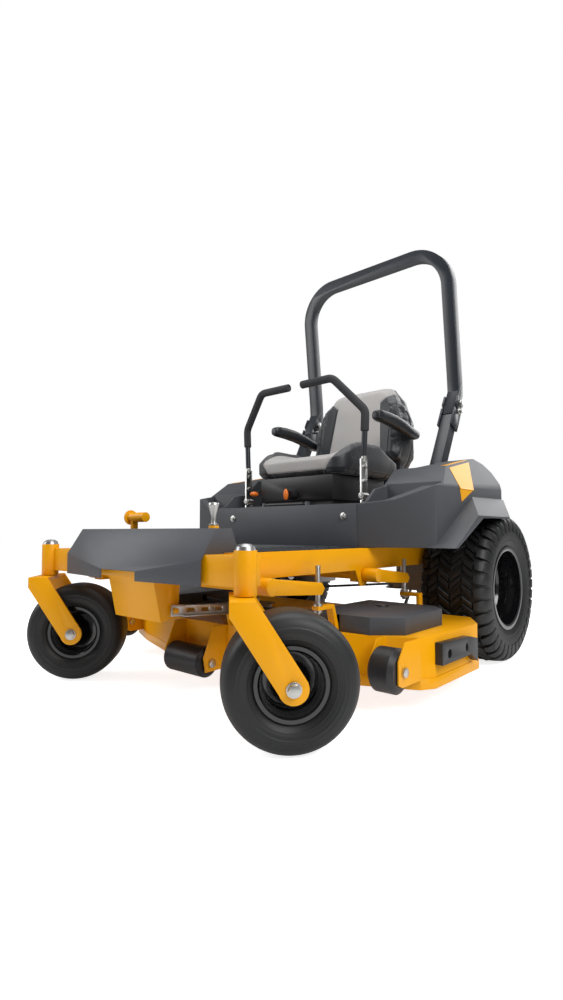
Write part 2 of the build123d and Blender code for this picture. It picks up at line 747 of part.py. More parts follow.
def hydro_drives():
    """Two drive units hung under the rails, each with its axle."""
    z = DRIVE_TYRE_R
    unit = block(250, RAIL_INNER - 5, -85, 85, 262, RAIL_BOTTOM)
    unit += rod_x(RAIL_INNER - 6, RAIL_OUTER + 25, 0, z, 40)
    unit += rod_x(RAIL_OUTER + 24, AXLE_TIP, 0, z, AXLE_R)
    unit += rod_z(298, -20, 240, 263, 28)
    return both(unit)


# ---- controls -----------------------------------------------------------------------
def lever_base():
    """Left lever stub: pivot boss, flat bar and the swing knuckle on top."""
    x, y = LEVER_X, LEVER_Y
    base = block(x - 4, x + 4, y - 19, y + 19, LEVER_PIVOT_Z, SWING_Z - 16)
    base += rod_x(x - 12, x + 26, y, LEVER_PIVOT_Z, 18)
    base -= rod_x(x - 40, x + 40, y, LEVER_PIVOT_Z, 8.0 + RUN)
    base += rod_y(x, y - 8, y + 8, SWING_Z, 12) + block(x - 4, x + 4, y - 8, y + 8, SWING_Z - 20, SWING_Z)
    base += rod_y(x, y - 21, y + 21, SWING_Z, 5)
    return base


def bar_path():
    """Middle line of the steering bar above its flat lever."""
    points = [
        (LEVER_X + 1, LEVER_Y, SWING_Z + 128),
        (LEVER_X + 10, LEVER_Y, 975),
        (LEVER_X - 117, LEVER_Y - 38, 1115),
        (36, LEVER_Y - 36, 1115),
    ]
    return points


def lap_bar():
    x, y = LEVER_X, LEVER_Y
    foot = block(x - 4, x + 4, y - 19, y + 19, SWING_Z + 14, SWING_Z + 140)
    for low, high in ((y - 19, y - 9), (y + 9, y + 19)):
        foot += rod_y(x, low, high, SWING_Z, 12) + block(x - 4, x + 4, low, high, SWING_Z, SWING_Z + 15)
    foot -= rod_y(x, y - 30, y + 30, SWING_Z, 5 + RUN)
    for z in (SWING_Z + 55, SWING_Z + 110):
        foot += hex_x(x + 4, x + 11, y, z, 9)
        foot += rod_x(x - 9, x - 4, y, z, 9)
    path = FilletPolyline(*bar_path(), radius=45)
    start = path @ 0
    along = path % 0
    bar = sweep(Plane(origin=start, z_dir=along) * Circle(BAR_R), path=path)
    return foot + bar


def lap_grip():
    """Foam sleeve over the bent upper part of the bar."""
    path = FilletPolyline(*bar_path(), radius=45)
    ring = Circle(GRIP_R) - Circle(BAR_R + RUN)
    grip = sweep(Plane(origin=path @ 0, z_dir=path % 0) * ring, path=path)
    low_cut = block(200, 400, LEVER_Y - 60, LEVER_Y + 60, 700, 898)
    return grip - low_cut


# ---- seat ---------------------------------------------------------------------------
HOUSING_HALF = 176.0
HOUSING_Y = (-521.0, -179.0)


def seat_plate():
    """Hinged plate with the lower half of the suspension housing."""
    plate = block(-215, 215, HINGE_Y + 14, -150, SEAT_BOX_TOP + 2, SEAT_BOX_TOP + 8)
    plate += block(-95, 95, HINGE_Y, HINGE_Y + 16, SEAT_BOX_TOP + 3, SEAT_BOX_TOP + 8)
    plate += rod_x(-95, 95, HINGE_Y, HINGE_Z, 8)
    plate -= rod_x(-99, 99, HINGE_Y, HINGE_Z, 4.0 + RUN)
    half, (y0, y1) = HOUSING_HALF - GAP, HOUSING_Y
    plate += block(-half, half, y0 + GAP, y1 - GAP, SEAT_BOX_TOP + 8, 700)
    plate += both(block(180, 214, -192, -155, SEAT_BOX_TOP, SEAT_BOX_TOP + 2))
    return plate


KNOB_Z = 664.0


def seat_frame():
    """Upper half of the suspension housing, open below, with the seat's runners."""
    half, (y0, y1) = HOUSING_HALF, HOUSING_Y
    frame = block(-half - 14, half + 14, y0 - 19, y1 + 19, SEAT_BOX_TOP + 25, SEAT_PAN_TOP - 6)
    frame -= block(-half, half, y0, y1, SEAT_BOX_TOP + 24, SEAT_PAN_TOP - 14)
    frame -= rod_y(-6, -545, -520, KNOB_Z, 6 + RUN)
    for x in (-150, 150):
        frame += block(x - 20, x + 20, -500, -160, SEAT_PAN_TOP - 6, SEAT_PAN_TOP)
    return frame


def weight_knob():
    knob = rod_y(-6, -575, -541, KNOB_Z, 19) + rod_y(-6, -541.5, -525, KNOB_Z, 6)
    grip = block(-10, -2, -582, -574, KNOB_Z - 17, KNOB_Z + 17)
    return knob + grip


def seat_cushion():
    cushion = block(
        -SEAT_HALF, SEAT_HALF, SEAT_FRONT, SEAT_BACK_Y - GAP, SEAT_PAN_TOP + GAP, CUSHION_TOP
    )
    return fillet(cushion.edges().filter_by(Axis.Z), 60)


def seat_backrest():
    top = BACKREST_TOP
    outline = [
        (SEAT_BACK_Y, SEAT_PAN_TOP + 2),
        (SEAT_BACK_Y, CUSHION_TOP + 4),
        (-112, CUSHION_TOP + 4),
        (-62, top - 120),
        (-30, top - 10),
        (-12, top),
        (28, top),
        (46, top - 40),
        (58, 1050),
        (58, 880),
        (36, SEAT_PAN_TOP + 2),
    ]
    face = [
        (-200, SEAT_PAN_TOP + 2),
        (200, SEAT_PAN_TOP + 2),
        (SEAT_HALF, CUSHION_TOP + 10),
        (SEAT_HALF + 3, 1010),
        (215, 1130),
        (165, top),
        (-165, top),
        (-215, 1130),
        (-SEAT_HALF - 3, 1010),
        (-SEAT_HALF, CUSHION_TOP + 10),
    ]
    back = side_plate(outline, -300, 300) & front_plate(face, -200, 100)
    for side in (1, -1):
        back -= rod_x(side * 190, side * 300, ARM_PIVOT_Y, ARM_PIVOT_Z, 8 + RUN)
    return back


def armrest():
    """Left armrest: pivot boss, support and pad."""
    inner = SEAT_HALF + 3 + LOOSE
    outer = inner + 45
    pad = block(inner, outer, -381, -70, 958, 1006)
    pad = fillet(pad.edges().filter_by(Axis.X), 20)
    rest = pad + rod_x(inner, outer - 6, ARM_PIVOT_Y, ARM_PIVOT_Z, 26)
    rest += side_plate([(-20, 924), (-20, 976), (-120, 990), (-160, 962)], inner, outer - 6)
    rest += rod_x(200, inner + 1, ARM_PIVOT_Y, ARM_PIVOT_Z, 8)
    return rest


# ---- deck ---------------------------------------------------------------------------
def deck_outline(grow):
    """Deck plan, grown or shrunk by an amount."""
    right = [(110, DECK_NOSE), (230, -985), (500, -893), (688, -808), (DECK_HALF, -765)]
    right += [(DECK_HALF, -452), (640, DECK_REAR)]
    points = right + [(-x, y) for x, y in reversed(right)]
    return offset(Polygon(*points, align=None), amount=grow, kind=Kind.INTERSECTION)


def deck_slab(grow, z0, z1):
    return extrude(Pos(0, 0, z0) * deck_outline(grow), z1 - z0, dir=(0, 0, 1))


GAUGE_X = 645.0
GAUGE_AT = (-905.0, 134.0)
ROLLER_AT = (DECK_NOSE - 62.0, 99.0)
STRUT_END = (DECK_NOSE + 8.0, 268.0)
CHUTE_HINGE = (-DECK_HALF - 8.0, 203.0)
CHUTE_Y = (-700.0, -440.0)
ARM_X = 440.0
ARM_TIP_FRONT = (ROD_FRONT_Y, 347.0)
ARM_TIP_REAR = (ROD_REAR_Y, 347.0)


def gauge_bracket(side):
    """Two plates that hold an end wheel against the scalp of a bump."""
    y, z = GAUGE_AT
    front = [(y - 8, z - 40), (y - 28, z - 30), (y - 28, z + 30), (y + 10, DECK_TOP)]
    outline = front + [(y + 110, DECK_TOP), (y + 110, z - 40)]
    half = GAUGE_WHEEL_W / 2 + 2
    plates = side_plate(outline, GAUGE_X + half, GAUGE_X + half + 4)
    plates += side_plate(outline, GAUGE_X - half - 4, GAUGE_X - half)
    plates -= rod_x(GAUGE_X - 60, GAUGE_X + 60, y, z, 8 + RUN)
    plates -= deck_slab(-DECK_WALL - 0.5, DECK_BOTTOM - 20, DECK_TOP - 6)
    return plates if side > 0 else other_side(plates)


def roller_bracket():
    y, z = ROLLER_AT
    outline = [(y - 22, z - 26), (y - 30, z + 20), (y + 10, DECK_TOP), (y + 75, DECK_TOP), (y + 75, z - 24)]
    plates = side_plate(outline, 102, 107) + side_plate(outline, -97, -92)
    return plates - rod_x(-110, 120, y, z, 8 + RUN)


def rod_bracket_front():
    y = ROD_FRONT_Y
    upper = [(y - 14, 284), (y - 14, 296), (y + 66, 296), (y + 92, DECK_TOP)]
    arm = side_plate(upper + [(y + 76, DECK_TOP), (y + 56, 284)], ARM_X - 12, ARM_X + 12)
    return arm - rod_z(ARM_X, y, 270, 310, 8 + RUN)


def rod_bracket_rear():
    y = ROD_REAR_Y
    arm = block(ARM_X - 12, 506, y - 12, y + 12, 284, 296)
    arm += block(494, 506, y - 12, y + 12, DECK_TOP, 290)
    return arm - rod_z(ARM_X, y, 270, 310, 8 + RUN)


def deck_shell():
    """Mowing deck: top, skirt, rim band and the brackets welded to it."""
    deck = deck_slab(0, DECK_BOTTOM, DECK_TOP)
    deck -= deck_slab(-DECK_WALL, DECK_BOTTOM - 1, DECK_TOP - 6)
    deck += deck_slab(3, DECK_BOTTOM - 6, 98) - deck_slab(-DECK_WALL, DECK_BOTTOM - 7, 99)
    for x, y in SPINDLES:
        deck -= rod_z(x, y, DECK_TOP - 7, DECK_TOP + 1, 40)
    for side in (1, -1):
        deck += gauge_bracket(side)
    deck += roller_bracket() + both(rod_bracket_front()) + both(rod_bracket_rear())
    y, z = STRUT_END
    ear_top = [(y - 18, z - 10), (y - 18, z + 14), (y + 14, z + 14)]
    ear_foot = [(y + 40, DECK_TOP - 3), (y - 6, DECK_TOP - 3)]
    deck += side_plate(ear_top + ear_foot, STRUT_X - 9, STRUT_X - 3)
    deck += rod_x(STRUT_X - 4, STRUT_X + 14, y, z, 5)
    chute_y0, chute_y1 = CHUTE_Y
    edge = -DECK_HALF
    deck -= block(edge - 4, edge + 10, chute_y0, chute_y1, DECK_BOTTOM - 7, DECK_TOP - 22)
    hx, hz = CHUTE_HINGE
    for y0, y1 in ((chute_y0 - 14, chute_y0 - 4), (chute_y1 + 4, chute_y1 + 14)):
        deck += block(hx - 7, -DECK_HALF + 3, y0, y1, hz - 7, hz + 7)
    deck += rod_y(hx, chute_y0 - 14, chute_y1 + 14, hz, 4)
    return deck


def spindle_housings():
    stack = Part() + []
    for x, y in SPINDLES:
        housing = rod_z(x, y, 128, 226, 34) + rod_z(x, y, DECK_TOP, DECK_TOP + 9, 62)
        stack += housing - rod_z(x, y, 120, 230, SHAFT_R + RUN)
    return stack


def spindle(index):
    """Shaft with its pulley and blade."""
    x, y = SPINDLES[index]
    half = BLADE_LEN / 2
    blade = block(-half, half, -31, 31, 98, 104) - block(-half - 1, -90, 6, 40, 90, 110)
    blade -= block(90, half + 1, -40, -6, 90, 110)
    lift = front_plate([(0, 104), (14, 104), (44, 122), (44, 128), (30, 124)], 14, 31)
    shaft = rod_z(0, 0, 88, 268, SHAFT_R) + rod_z(0, 0, 104, 127, 24) + rod_z(0, 0, 90, 98, 22)
    low, high = BELT_Z - 4, BELT_Z + BELT_H + 4
    groove = [(PULLEY_R + 12, low), (PULLEY_R, low + 4), (PULLEY_R, high - 4), (PULLEY_R + 12, high)]
    pulley = turned_z([(SHAFT_R - 2, low), *groove, (SHAFT_R - 2, high)])
    return Pos(x, y, 0) * (blade + shaft + pulley)


def belt_ring(inner, outer, z0, z1):
    left, middle, right = SPINDLES
    core = Polygon(left, (0, ENGINE_Y), right, middle, align=None)
    loop = offset(core, amount=outer, kind=Kind.ARC) - offset(core, amount=inner, kind=Kind.ARC)
    return extrude(Pos(0, 0, z0) * loop, z1 - z0, dir=(0, 0, 1))


def deck_belt():
    return belt_ring(PULLEY_R + GAP, PULLEY_R + GAP + BELT_T, BELT_Z, BELT_Z + BELT_H)


def belt_covers():
    """Moulded covers over the two outer pulleys."""
    plan = [(330, -880), (560, -868), (640, -800), (640, -560), (590, -505), (330, -505)]
    cover = flat_plate(plan, DECK_TOP, 264)
    inside = [(333, -877), (559, -865), (637, -798), (637, -562), (589, -508), (333, -508)]
    cover -= flat_plate(inside, DECK_TOP - 1, 261)
    cover -= rod_z(SPINDLE_X, SPINDLE_Y, 250, 270, 24)
    cover -= block(ARM_X - 16, ARM_X + 16, -925, -860, DECK_TOP - 1, 262)
    tunnel = belt_ring(PULLEY_R - 8, PULLEY_R + 18, BELT_Z - 8, BELT_Z + BELT_H + 8)
    return both(cover) - tunnel


def side_bumper():
    """Black wear strip on the left side of the deck."""
    outline = [(-762, 133), (-762, 196), (-550, 189), (-458, 176), (-458, 104), (-532, 133)]
    strip = side_plate(outline, DECK_HALF + GAP, DECK_HALF + 24)
    for y in (-715, -590):
        strip -= rod_x(DECK_HALF + 14, DECK_HALF + 25, y, 160, 13)
    return strip


def deck_hardware():
    """Hanger rods with their nuts, and the bolts of the gauge wheels and roller."""
    parts = Part() + []
    for side in (1, -1):
        for y in (ROD_FRONT_Y, ROD_REAR_Y):
            x = side * ARM_X
            rod = rod_z(x, y, 270, 415, 8)
            rod += rod_z(x, y, 296, 304, 14) + rod_z(x, y, 276, 284, 14)
            rod += rod_x(x - 8, x + 8, y, ARM_TIP_FRONT[1], 11)
            parts += rod
    y, z = GAUGE_AT
    reach = GAUGE_WHEEL_W / 2 + 6
    bolt = rod_x(GAUGE_X - reach - 8, GAUGE_X + reach + 8, y, z, 8)
    bolt += hex_x(GAUGE_X + reach + GAP, GAUGE_X + reach + 8, y, z, 14)
    bolt += hex_x(GAUGE_X - reach - 8, GAUGE_X - reach - GAP, y, z, 14)
    parts += both(bolt)
    y, z = ROLLER_AT
    bolt = rod_x(-105, 115, y, z, 8)
    bolt += hex_x(107 + GAP, 115, y, z, 14) + hex_x(-105, -97 - GAP, y, z, 14)
    return parts + bolt


def gauge_wheel(side):
    r, half = GAUGE_WHEEL_R, GAUGE_WHEEL_W / 2
    tread = [(half, r - 14), (half - 12, r), (12 - half, r), (-half, r - 14)]
    wheel = turned([(-half, 20), (half, 20), *tread]) + rod_x(-half, half, 0, 0, 21)
    wheel -= rod_x(-half - 1, half + 1, 0, 0, 8 + RUN)
    return Pos(side * GAUGE_X, *GAUGE_AT) * wheel


def deck_roller():
    r, half = ROLLER_R, 90.0
    tread = [(half, r - 12), (half - 10, r), (10 - half, r), (-half, r - 12)]
    roller = turned([(-half, 10), (half, 10), *tread]) + rod_x(-half, half, 0, 0, 12)
    roller -= rod_x(-half - 1, half + 1, 0, 0, 8 + RUN)
    return Pos(5, *ROLLER_AT) * roller


def discharge_chute():
    """Hinged deflector over the side outlet."""
    hx, hz = CHUTE_HINGE
    y0, y1 = CHUTE_Y
    top = [(hx, hz + 8), (hx - 225, hz - 60), (hx - 230, hz - 66), (hx - 6, hz - 2)]
    chute = front_plate(top, y0 + 4, y1 - 4)
    cheek = [(hx - 14, hz), (hx - 226, hz - 62), (hx - 200, hz - 100), (hx - 22, hz - 60)]
    chute += front_plate(cheek, y0 + 4, y0 + 9) + front_plate(cheek, y1 - 9, y1 - 4)
    chute += rod_y(hx, y0 + 4, y1 - 4, hz, 8)
    return chute - rod_y(hx, y0, y1, hz, 4 + RUN)


# ---- deck lift ----------------------------------------------------------------------
def rockshaft(pivot, tip):
    """Cross tube under the rails with a two-plate lifting arm at each end."""
    y, z = pivot
    end = ARM_X + 16
    shaft = rod_x(-end, end, y, z, ROCK_R)
    tip_y, tip_z = tip
    nose = [(tip_y, tip_z + 18), (tip_y + 14, tip_z), (tip_y, tip_z - 18)]
    arm = side_plate([(y, z - 22), (y, z + 22), *nose], ARM_X - 16, ARM_X + 16)
    arm += rod_x(ARM_X - 37, ARM_X + 18, y, z, 24)
    arm -= block(ARM_X - 10, ARM_X + 10, tip_y - 90, tip_y + 40, 250, 450)
    return shaft + both(arm)


def lift_pedal():
    """Foot lever that raises the deck."""
    x, y, z = PEDAL_X, PEDAL_Y, PEDAL_Z
    pedal = rod_x(x - 30, x + 30, y, z, 17) + block(x - 6, x + 6, y - 12, y + 12, z, 562)
    pedal += rod_x(x - 20, x + 72, y, 567, 17.5) + rod_x(x - 26, x - 20, y, 567, 27)
    return pedal - rod_x(x - 31, x + 31, y, z, PEDAL_PIN_R + RUN)


def height_pin():
    x, y = HEIGHT_POST
    top = COVER_TOP + 8
    pin = rod_z(x, y, RAIL_TOP - 10, top + 30, HEIGHT_PIN_R) + rod_z(x, y, top + GAP, top + 5, 14)
    head = turned_z([(0, top + 28), (HEIGHT_PIN_R, top + 28), (17, top + 60), (14, top + 66), (0, top + 66)])
    return pin + Pos(x, y, 0) * head


def deck_strut():
    """Slotted channel that keeps the deck from moving fore and aft."""
    (y0, z0), (y1, z1) = STRUT_PIVOT, STRUT_END
    length = math.hypot(y1 - y0, z1 - z0)
    half = 17.0
    bar = block(0, 5, -16, length + 26, -half, half)
    bar += block(0, 22, 24, length - 24, half - 4, half) + block(0, 22, 24, length - 24, -half, 4 - half)
    bar -= rod_x(-1, 6, 0, 0, 8 + RUN)
    bar -= block(-1, 6, length - 12, length + 12, -7.5, 7.5)
    for step in range(3):
        middle = 60 + step * (length - 120) / 2
        bar -= block(-1, 6, middle - 16, middle + 16, -6, 6)
    tilt = math.degrees(math.atan2(z1 - z0, y1 - y0))
    return Pos(STRUT_X, y0, z0) * Rot(tilt, 0, 0) * bar


# ---- engine -------------------------------------------------------------------------
def engine_block():
    """Crankcase with two finned cylinders in a vee."""
    y = ENGINE_Y
    crankcase = block(-140, 140, 150, 430, PLATE_TOP, 620)
    crankcase -= rod_z(0, y, PLATE_TOP - 1, PLATE_TOP + 20, CRANK_R + RUN)
    for side in (1, -1):
        for fin in range(6):
            x = side * (150 + fin * 20)
            crankcase += block(x - 4, x + 4, 250, 400, 480, 620)
        crankcase += block(side * 135, side * 262, 275, 375, 500, 600)
        crankcase += block(side * 262, side * 290, 255, 395, 485, 615)
    return crankcase


def engine_shroud():
    """Blower housing, air cleaner canister and fan screen ring."""
    y = ENGINE_Y
    cover = rod_z(0, y, 620 + GAP, 760, 185) + rod_z(0, y, 760, 785, 120)
    cover += block(-250, 250, 240, 400, 620 + GAP, 690)
    cover += rod_x(-150, 150, 415, 745, 72)
    return cover


def muffler():
    can = rod_x(-190, 190, 468, 560, 42)
    for side in (1, -1):
        can += rod_y(side * 276, 395, 470, 545, 17) + rod_x(side * 180, side * 276, 468, 552, 17)
    can += rod_y(120, 468, 512, 548, 15)
    return can


def crank():
    """Crankshaft end with the pump pulley, the clutch and the deck pulley."""
    low, high = BELT_Z - 8, BELT_Z + BELT_H + 8
    group = rod_z(0, 0, low - 6, PLATE_TOP + 18, CRANK_R)
    groove = [(PULLEY_R + 12, low), (PULLEY_R, low + 6), (PULLEY_R, high - 6), (PULLEY_R + 12, high)]
    group += turned_z([(0, low), *groove, (0, high)])
    group += rod_z(0, 0, high, high + 46, 76) + rod_z(0, 0, high + 46, high + 52, 50)
    group += turned_z([(0, 350), (70, 350), (60, 355), (60, 367), (70, 372), (0, 372)])
    return Pos(0, ENGINE_Y, 0) * group


# ---- small fittings -----------------------------------------------------------------
THROTTLE = (-330.0, -380.0, SEAT_BOX_TOP + 26.0)


def throttle_lever():
    x, y, z = THROTTLE
    lever = rod_x(x - 4, x + 4, y, z, 11) + block(x - 3, x + 3, y - 4, y + 4, z, z + 58)
    lever += rod_z(x, y, z + 52, z + 78, 9)
    return lever - rod_x(x - 5, x + 5, y, z, 4 + RUN)


def throttle_bracket():
    """Ears and pin that carry the throttle lever, fixed to the seat box."""
    x, y, z = THROTTLE
    ears = block(x - 9, x - 5, y - 9, y + 9, SEAT_BOX_TOP - SHEET, z + 9)
    ears += block(x + 5, x + 9, y - 9, y + 9, SEAT_BOX_TOP - SHEET, z + 9)
    return ears + rod_x(x - 9, x + 9, y, z, 4)


CAP_AT = (-505.0, -110.0)


def fuel_cap():
    x, y = CAP_AT
    cap = rod_z(x, y, FENDER_TOP + 12, FENDER_TOP + 34, 36)
    for step in range(12):
        angle = math.radians(30 * step)
        rib_x, rib_y = x + 35 * math.cos(angle), y + 35 * math.sin(angle)
        cap += rod_z(rib_x, rib_y, FENDER_TOP + 13, FENDER_TOP + 32, 4)
    return cap - rod_z(x, y, FENDER_TOP + 8, FENDER_TOP + 24, 27 + RUN)


def filler_neck():
    x, y = CAP_AT
    neck = rod_z(x, y, FENDER_TOP - 24, FENDER_TOP + 23, 27)
    return neck + rod_z(x, y, FENDER_TOP - 24, FENDER_TOP + 4, 40)


def frame_bolts():
    """Zinc flange bolts of the seat box."""
    bolts = Part() + []
    for x in (312, -256):
        face = SEAT_BOX_FRONT
        bolts += rod_y(x, face - 3, face, 570, 13) + rod_y(x, face - 9, face - 3, 570, 9)
    return bolts


# ---- assembly -----------------------------------------------------------------------
def all_parts():
    parts = {
        "main_frame": main_frame(),
        "front_cover": front_cover(),
        "floor_pan": floor_pan(),
        "seat_box": seat_box() + throttle_bracket(),
        "frame_bolts": frame_bolts() + rops_hinge_bolts(),
        "caster_bearings": caster_bearings(),
        "fender_left": fender(),
        "fender_right": other_side(fender()) + filler_neck(),
        "rops_posts": both(rops_post()),
        "rops_hoop": rops_hoop(),
        "rops_lock_pins": rops_lock_pins(),
        "hydro_drives": hydro_drives(),
        "engine_block": engine_block() + muffler(),
        "engine_shroud": engine_shroud(),
        "crank_pulleys": crank(),
        "seat_plate": seat_plate(),
        "seat_frame": seat_frame(),
        "weight_knob": weight_knob(),
        "seat_cushion": seat_cushion(),
        "seat_backrest": seat_backrest(),
        "armrest_left": armrest(),
        "armrest_right": other_side(armrest()),
        "deck_shell": deck_shell(),
        "deck_hardware": deck_hardware(),
        "spindle_housings": spindle_housings(),
        "deck_belt": deck_belt(),
        "belt_covers": belt_covers(),
        "side_bumper": side_bumper(),
        "deck_roller": deck_roller(),
        "discharge_chute": discharge_chute(),
        "rockshaft_front": rockshaft(ROCK_FRONT, ARM_TIP_FRONT),
        "rockshaft_rear": rockshaft(ROCK_REAR, ARM_TIP_REAR),
        "lift_pedal": lift_pedal(),
        "height_pin": height_pin(),
        "deck_strut": deck_strut(),
        "throttle_lever": throttle_lever(),
        "fuel_cap": fuel_cap(),
    }
    for index, name in enumerate(("left", "middle", "right")):
        parts["spindle_" + name] = spindle(index)
    for name, side in (("left", 1), ("right", -1)):
        turn = Rot(0, 0, 0 if side > 0 else 180)
        parts["caster_fork_" + name] = caster_place(side) * caster_fork()
        parts["caster_axle_" + name] = caster_wheel_place(side) * caster_axle()
        parts["caster_tyre_" + name] = caster_wheel_place(side) * caster_tyre()
        parts["caster_rim_" + name] = caster_wheel_place(side) * caster_rim()
        drive_place = Pos(side * WHEEL_X, 0, DRIVE_TYRE_R) * turn
        parts["drive_tyre_" + name] = drive_place * drive_tyre()
        parts["drive_rim_" + name] = drive_place * drive_rim()
        parts["gauge_wheel_" + name] = gauge_wheel(side)
        parts["lever_base_" + name] = lever_base() if side > 0 else other_side(lever_base())
        parts["lap_bar_" + name] = lap_bar() if side > 0 else other_side(lap_bar())
        parts["lap_grip_" + name] = lap_grip() if side > 0 else other_side(lap_grip())
    return parts


parts = all_parts()
boxes = [shape.bounding_box() for shape in parts.values()]
low = [min(getattr(box.min, axis) for box in boxes) for axis in "XYZ"]
high = [max(getattr(box.max, axis) for box in boxes) for axis in "XYZ"]
to_origin = Pos(-(low[0] + high[0]) / 2, -(low[1] + high[1]) / 2, -low[2])
print("shift", to_origin.position, "size", [round(b - a, 2) for a, b in zip(low, high)])
for name, shape in parts.items():
    export_step(to_origin * shape, "parts/" + name + ".step")
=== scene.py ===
import json
import math

import bmesh
import bpy
from mathutils import Matrix, Vector

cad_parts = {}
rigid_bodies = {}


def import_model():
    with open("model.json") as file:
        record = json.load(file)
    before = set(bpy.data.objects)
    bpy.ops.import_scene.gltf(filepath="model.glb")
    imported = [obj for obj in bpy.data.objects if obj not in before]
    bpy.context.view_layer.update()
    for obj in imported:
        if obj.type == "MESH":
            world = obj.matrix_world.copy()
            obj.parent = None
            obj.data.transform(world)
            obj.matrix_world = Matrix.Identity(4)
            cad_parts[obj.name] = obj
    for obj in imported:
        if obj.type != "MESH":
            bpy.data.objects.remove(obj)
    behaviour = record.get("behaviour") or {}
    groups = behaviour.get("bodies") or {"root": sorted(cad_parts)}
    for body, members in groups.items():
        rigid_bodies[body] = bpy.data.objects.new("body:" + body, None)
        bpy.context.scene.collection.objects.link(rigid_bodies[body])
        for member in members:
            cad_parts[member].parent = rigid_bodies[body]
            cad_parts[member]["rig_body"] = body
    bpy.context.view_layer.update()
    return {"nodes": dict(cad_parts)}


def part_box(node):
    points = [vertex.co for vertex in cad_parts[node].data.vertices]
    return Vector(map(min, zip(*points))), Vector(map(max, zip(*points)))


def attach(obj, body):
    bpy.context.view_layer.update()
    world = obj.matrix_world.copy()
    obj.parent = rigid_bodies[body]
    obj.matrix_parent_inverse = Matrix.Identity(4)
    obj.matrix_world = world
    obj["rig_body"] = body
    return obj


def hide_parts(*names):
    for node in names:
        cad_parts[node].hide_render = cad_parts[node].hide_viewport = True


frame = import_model()

# ---- stand, camera and light --------------------------------------------------------
# The machine stands on a pale studio floor. Places are given in millimetres from the
# ground under the middle of the drive axle, and at() turns them into the frame.
tyre_left, tyre_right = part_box("drive_tyre_left"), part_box("drive_tyre_right")
AXLE_X = (tyre_left[0].x + tyre_right[1].x) / 2
AXLE_Y = (tyre_left[0].y + tyre_left[1].y) / 2
FLOOR_Z = tyre_left[0].z


def at(x, y, z):
    return Vector((AXLE_X + x / 1000, AXLE_Y + y / 1000, FLOOR_Z + z / 1000))


def linked(name, mesh):
    piece = bpy.data.objects.new(name, mesh)
    bpy.context.scene.collection.objects.link(piece)
    return piece


def plain(name, colour, rough):
    material = bpy.data.materials.new(name)
    material.use_nodes = True
    surface = material.node_tree.nodes["Principled BSDF"]
    surface.inputs["Base Color"].default_value = (*colour, 1)
    surface.inputs["Roughness"].default_value = rough
    return material


floor_mesh = bpy.data.meshes.new("floor")
reach = 40.0
floor_mesh.from_pydata(
    [(-reach, -reach, 0), (reach, -reach, 0), (reach, reach, 0), (-reach, reach, 0)],
    [],
    [(0, 1, 2, 3)],
)
floor = linked("floor", floor_mesh)
floor.location.z = FLOOR_Z - 0.001
pale = plain("studio_floor", (0.86, 0.86, 0.86), 0.7)
pale_tree = pale.node_tree
pale_surface = pale_tree.nodes["Principled BSDF"]
pale_surface.inputs["Emission Color"].default_value = (1, 1, 1, 1)
glow = pale_tree.nodes.new("ShaderNodeMapRange")
glow.inputs["To Min"].default_value = 0.1
glow.inputs["To Max"].default_value = 0.82
ray = pale_tree.nodes.new("ShaderNodeLightPath")
pale_tree.links.new(ray.outputs["Is Camera Ray"], glow.inputs["Value"])
pale_tree.links.new(glow.outputs["Result"], pale_surface.inputs["Emission Strength"])
floor_mesh.materials.append(pale)

camera_data = bpy.data.cameras.new("camera")
camera_data.lens = 19.82
camera_data.sensor_width = 36
camera_data.clip_end = 200
camera = linked("camera", camera_data)
camera.location = at(1444.6, -2259.6, 514.8)
camera.rotation_euler = (math.radians(93.29), 0, math.radians(41.43))
bpy.context.scene.camera = camera

world = bpy.data.worlds.new("studio")
world.use_nodes = True
sky = world.node_tree.nodes["Background"]
sky.inputs["Color"].default_value = (1, 1, 1, 1)
seen = world.node_tree.nodes.new("ShaderNodeLightPath")
level = world.node_tree.nodes.new("ShaderNodeMapRange")
level.inputs["To Min"].default_value = 0.2
level.inputs["To Max"].default_value = 1.0
world.node_tree.links.new(seen.outputs["Is Camera Ray"], level.inputs["Value"])
world.node_tree.links.new(level.outputs["Result"], sky.inputs["Strength"])
bpy.context.scene.world = world
bpy.context.scene.view_settings.view_transform = "Standard"

for lamp_name, place, size, power in (
    ("key", (3100, -1500, 2700), 2.0, 92),
    ("left", (-2600, -3000, 2400), 2.2, 62),
    ("top", (0, -300, 3900), 2.6, 72),
    ("rear", (600, 3200, 2600), 2.4, 60),
):
    lamp_data = bpy.data.lights.new(lamp_name, "AREA")
    lamp_data.shape = "SQUARE"
    lamp_data.size = size
    lamp_data.energy = power
    lamp = linked(lamp_name, lamp_data)
    lamp.location = at(*place)
    aim = at(0, -500, 500) - lamp.location
    lamp.rotation_euler = aim.to_track_quat("-Z", "Y").to_euler()


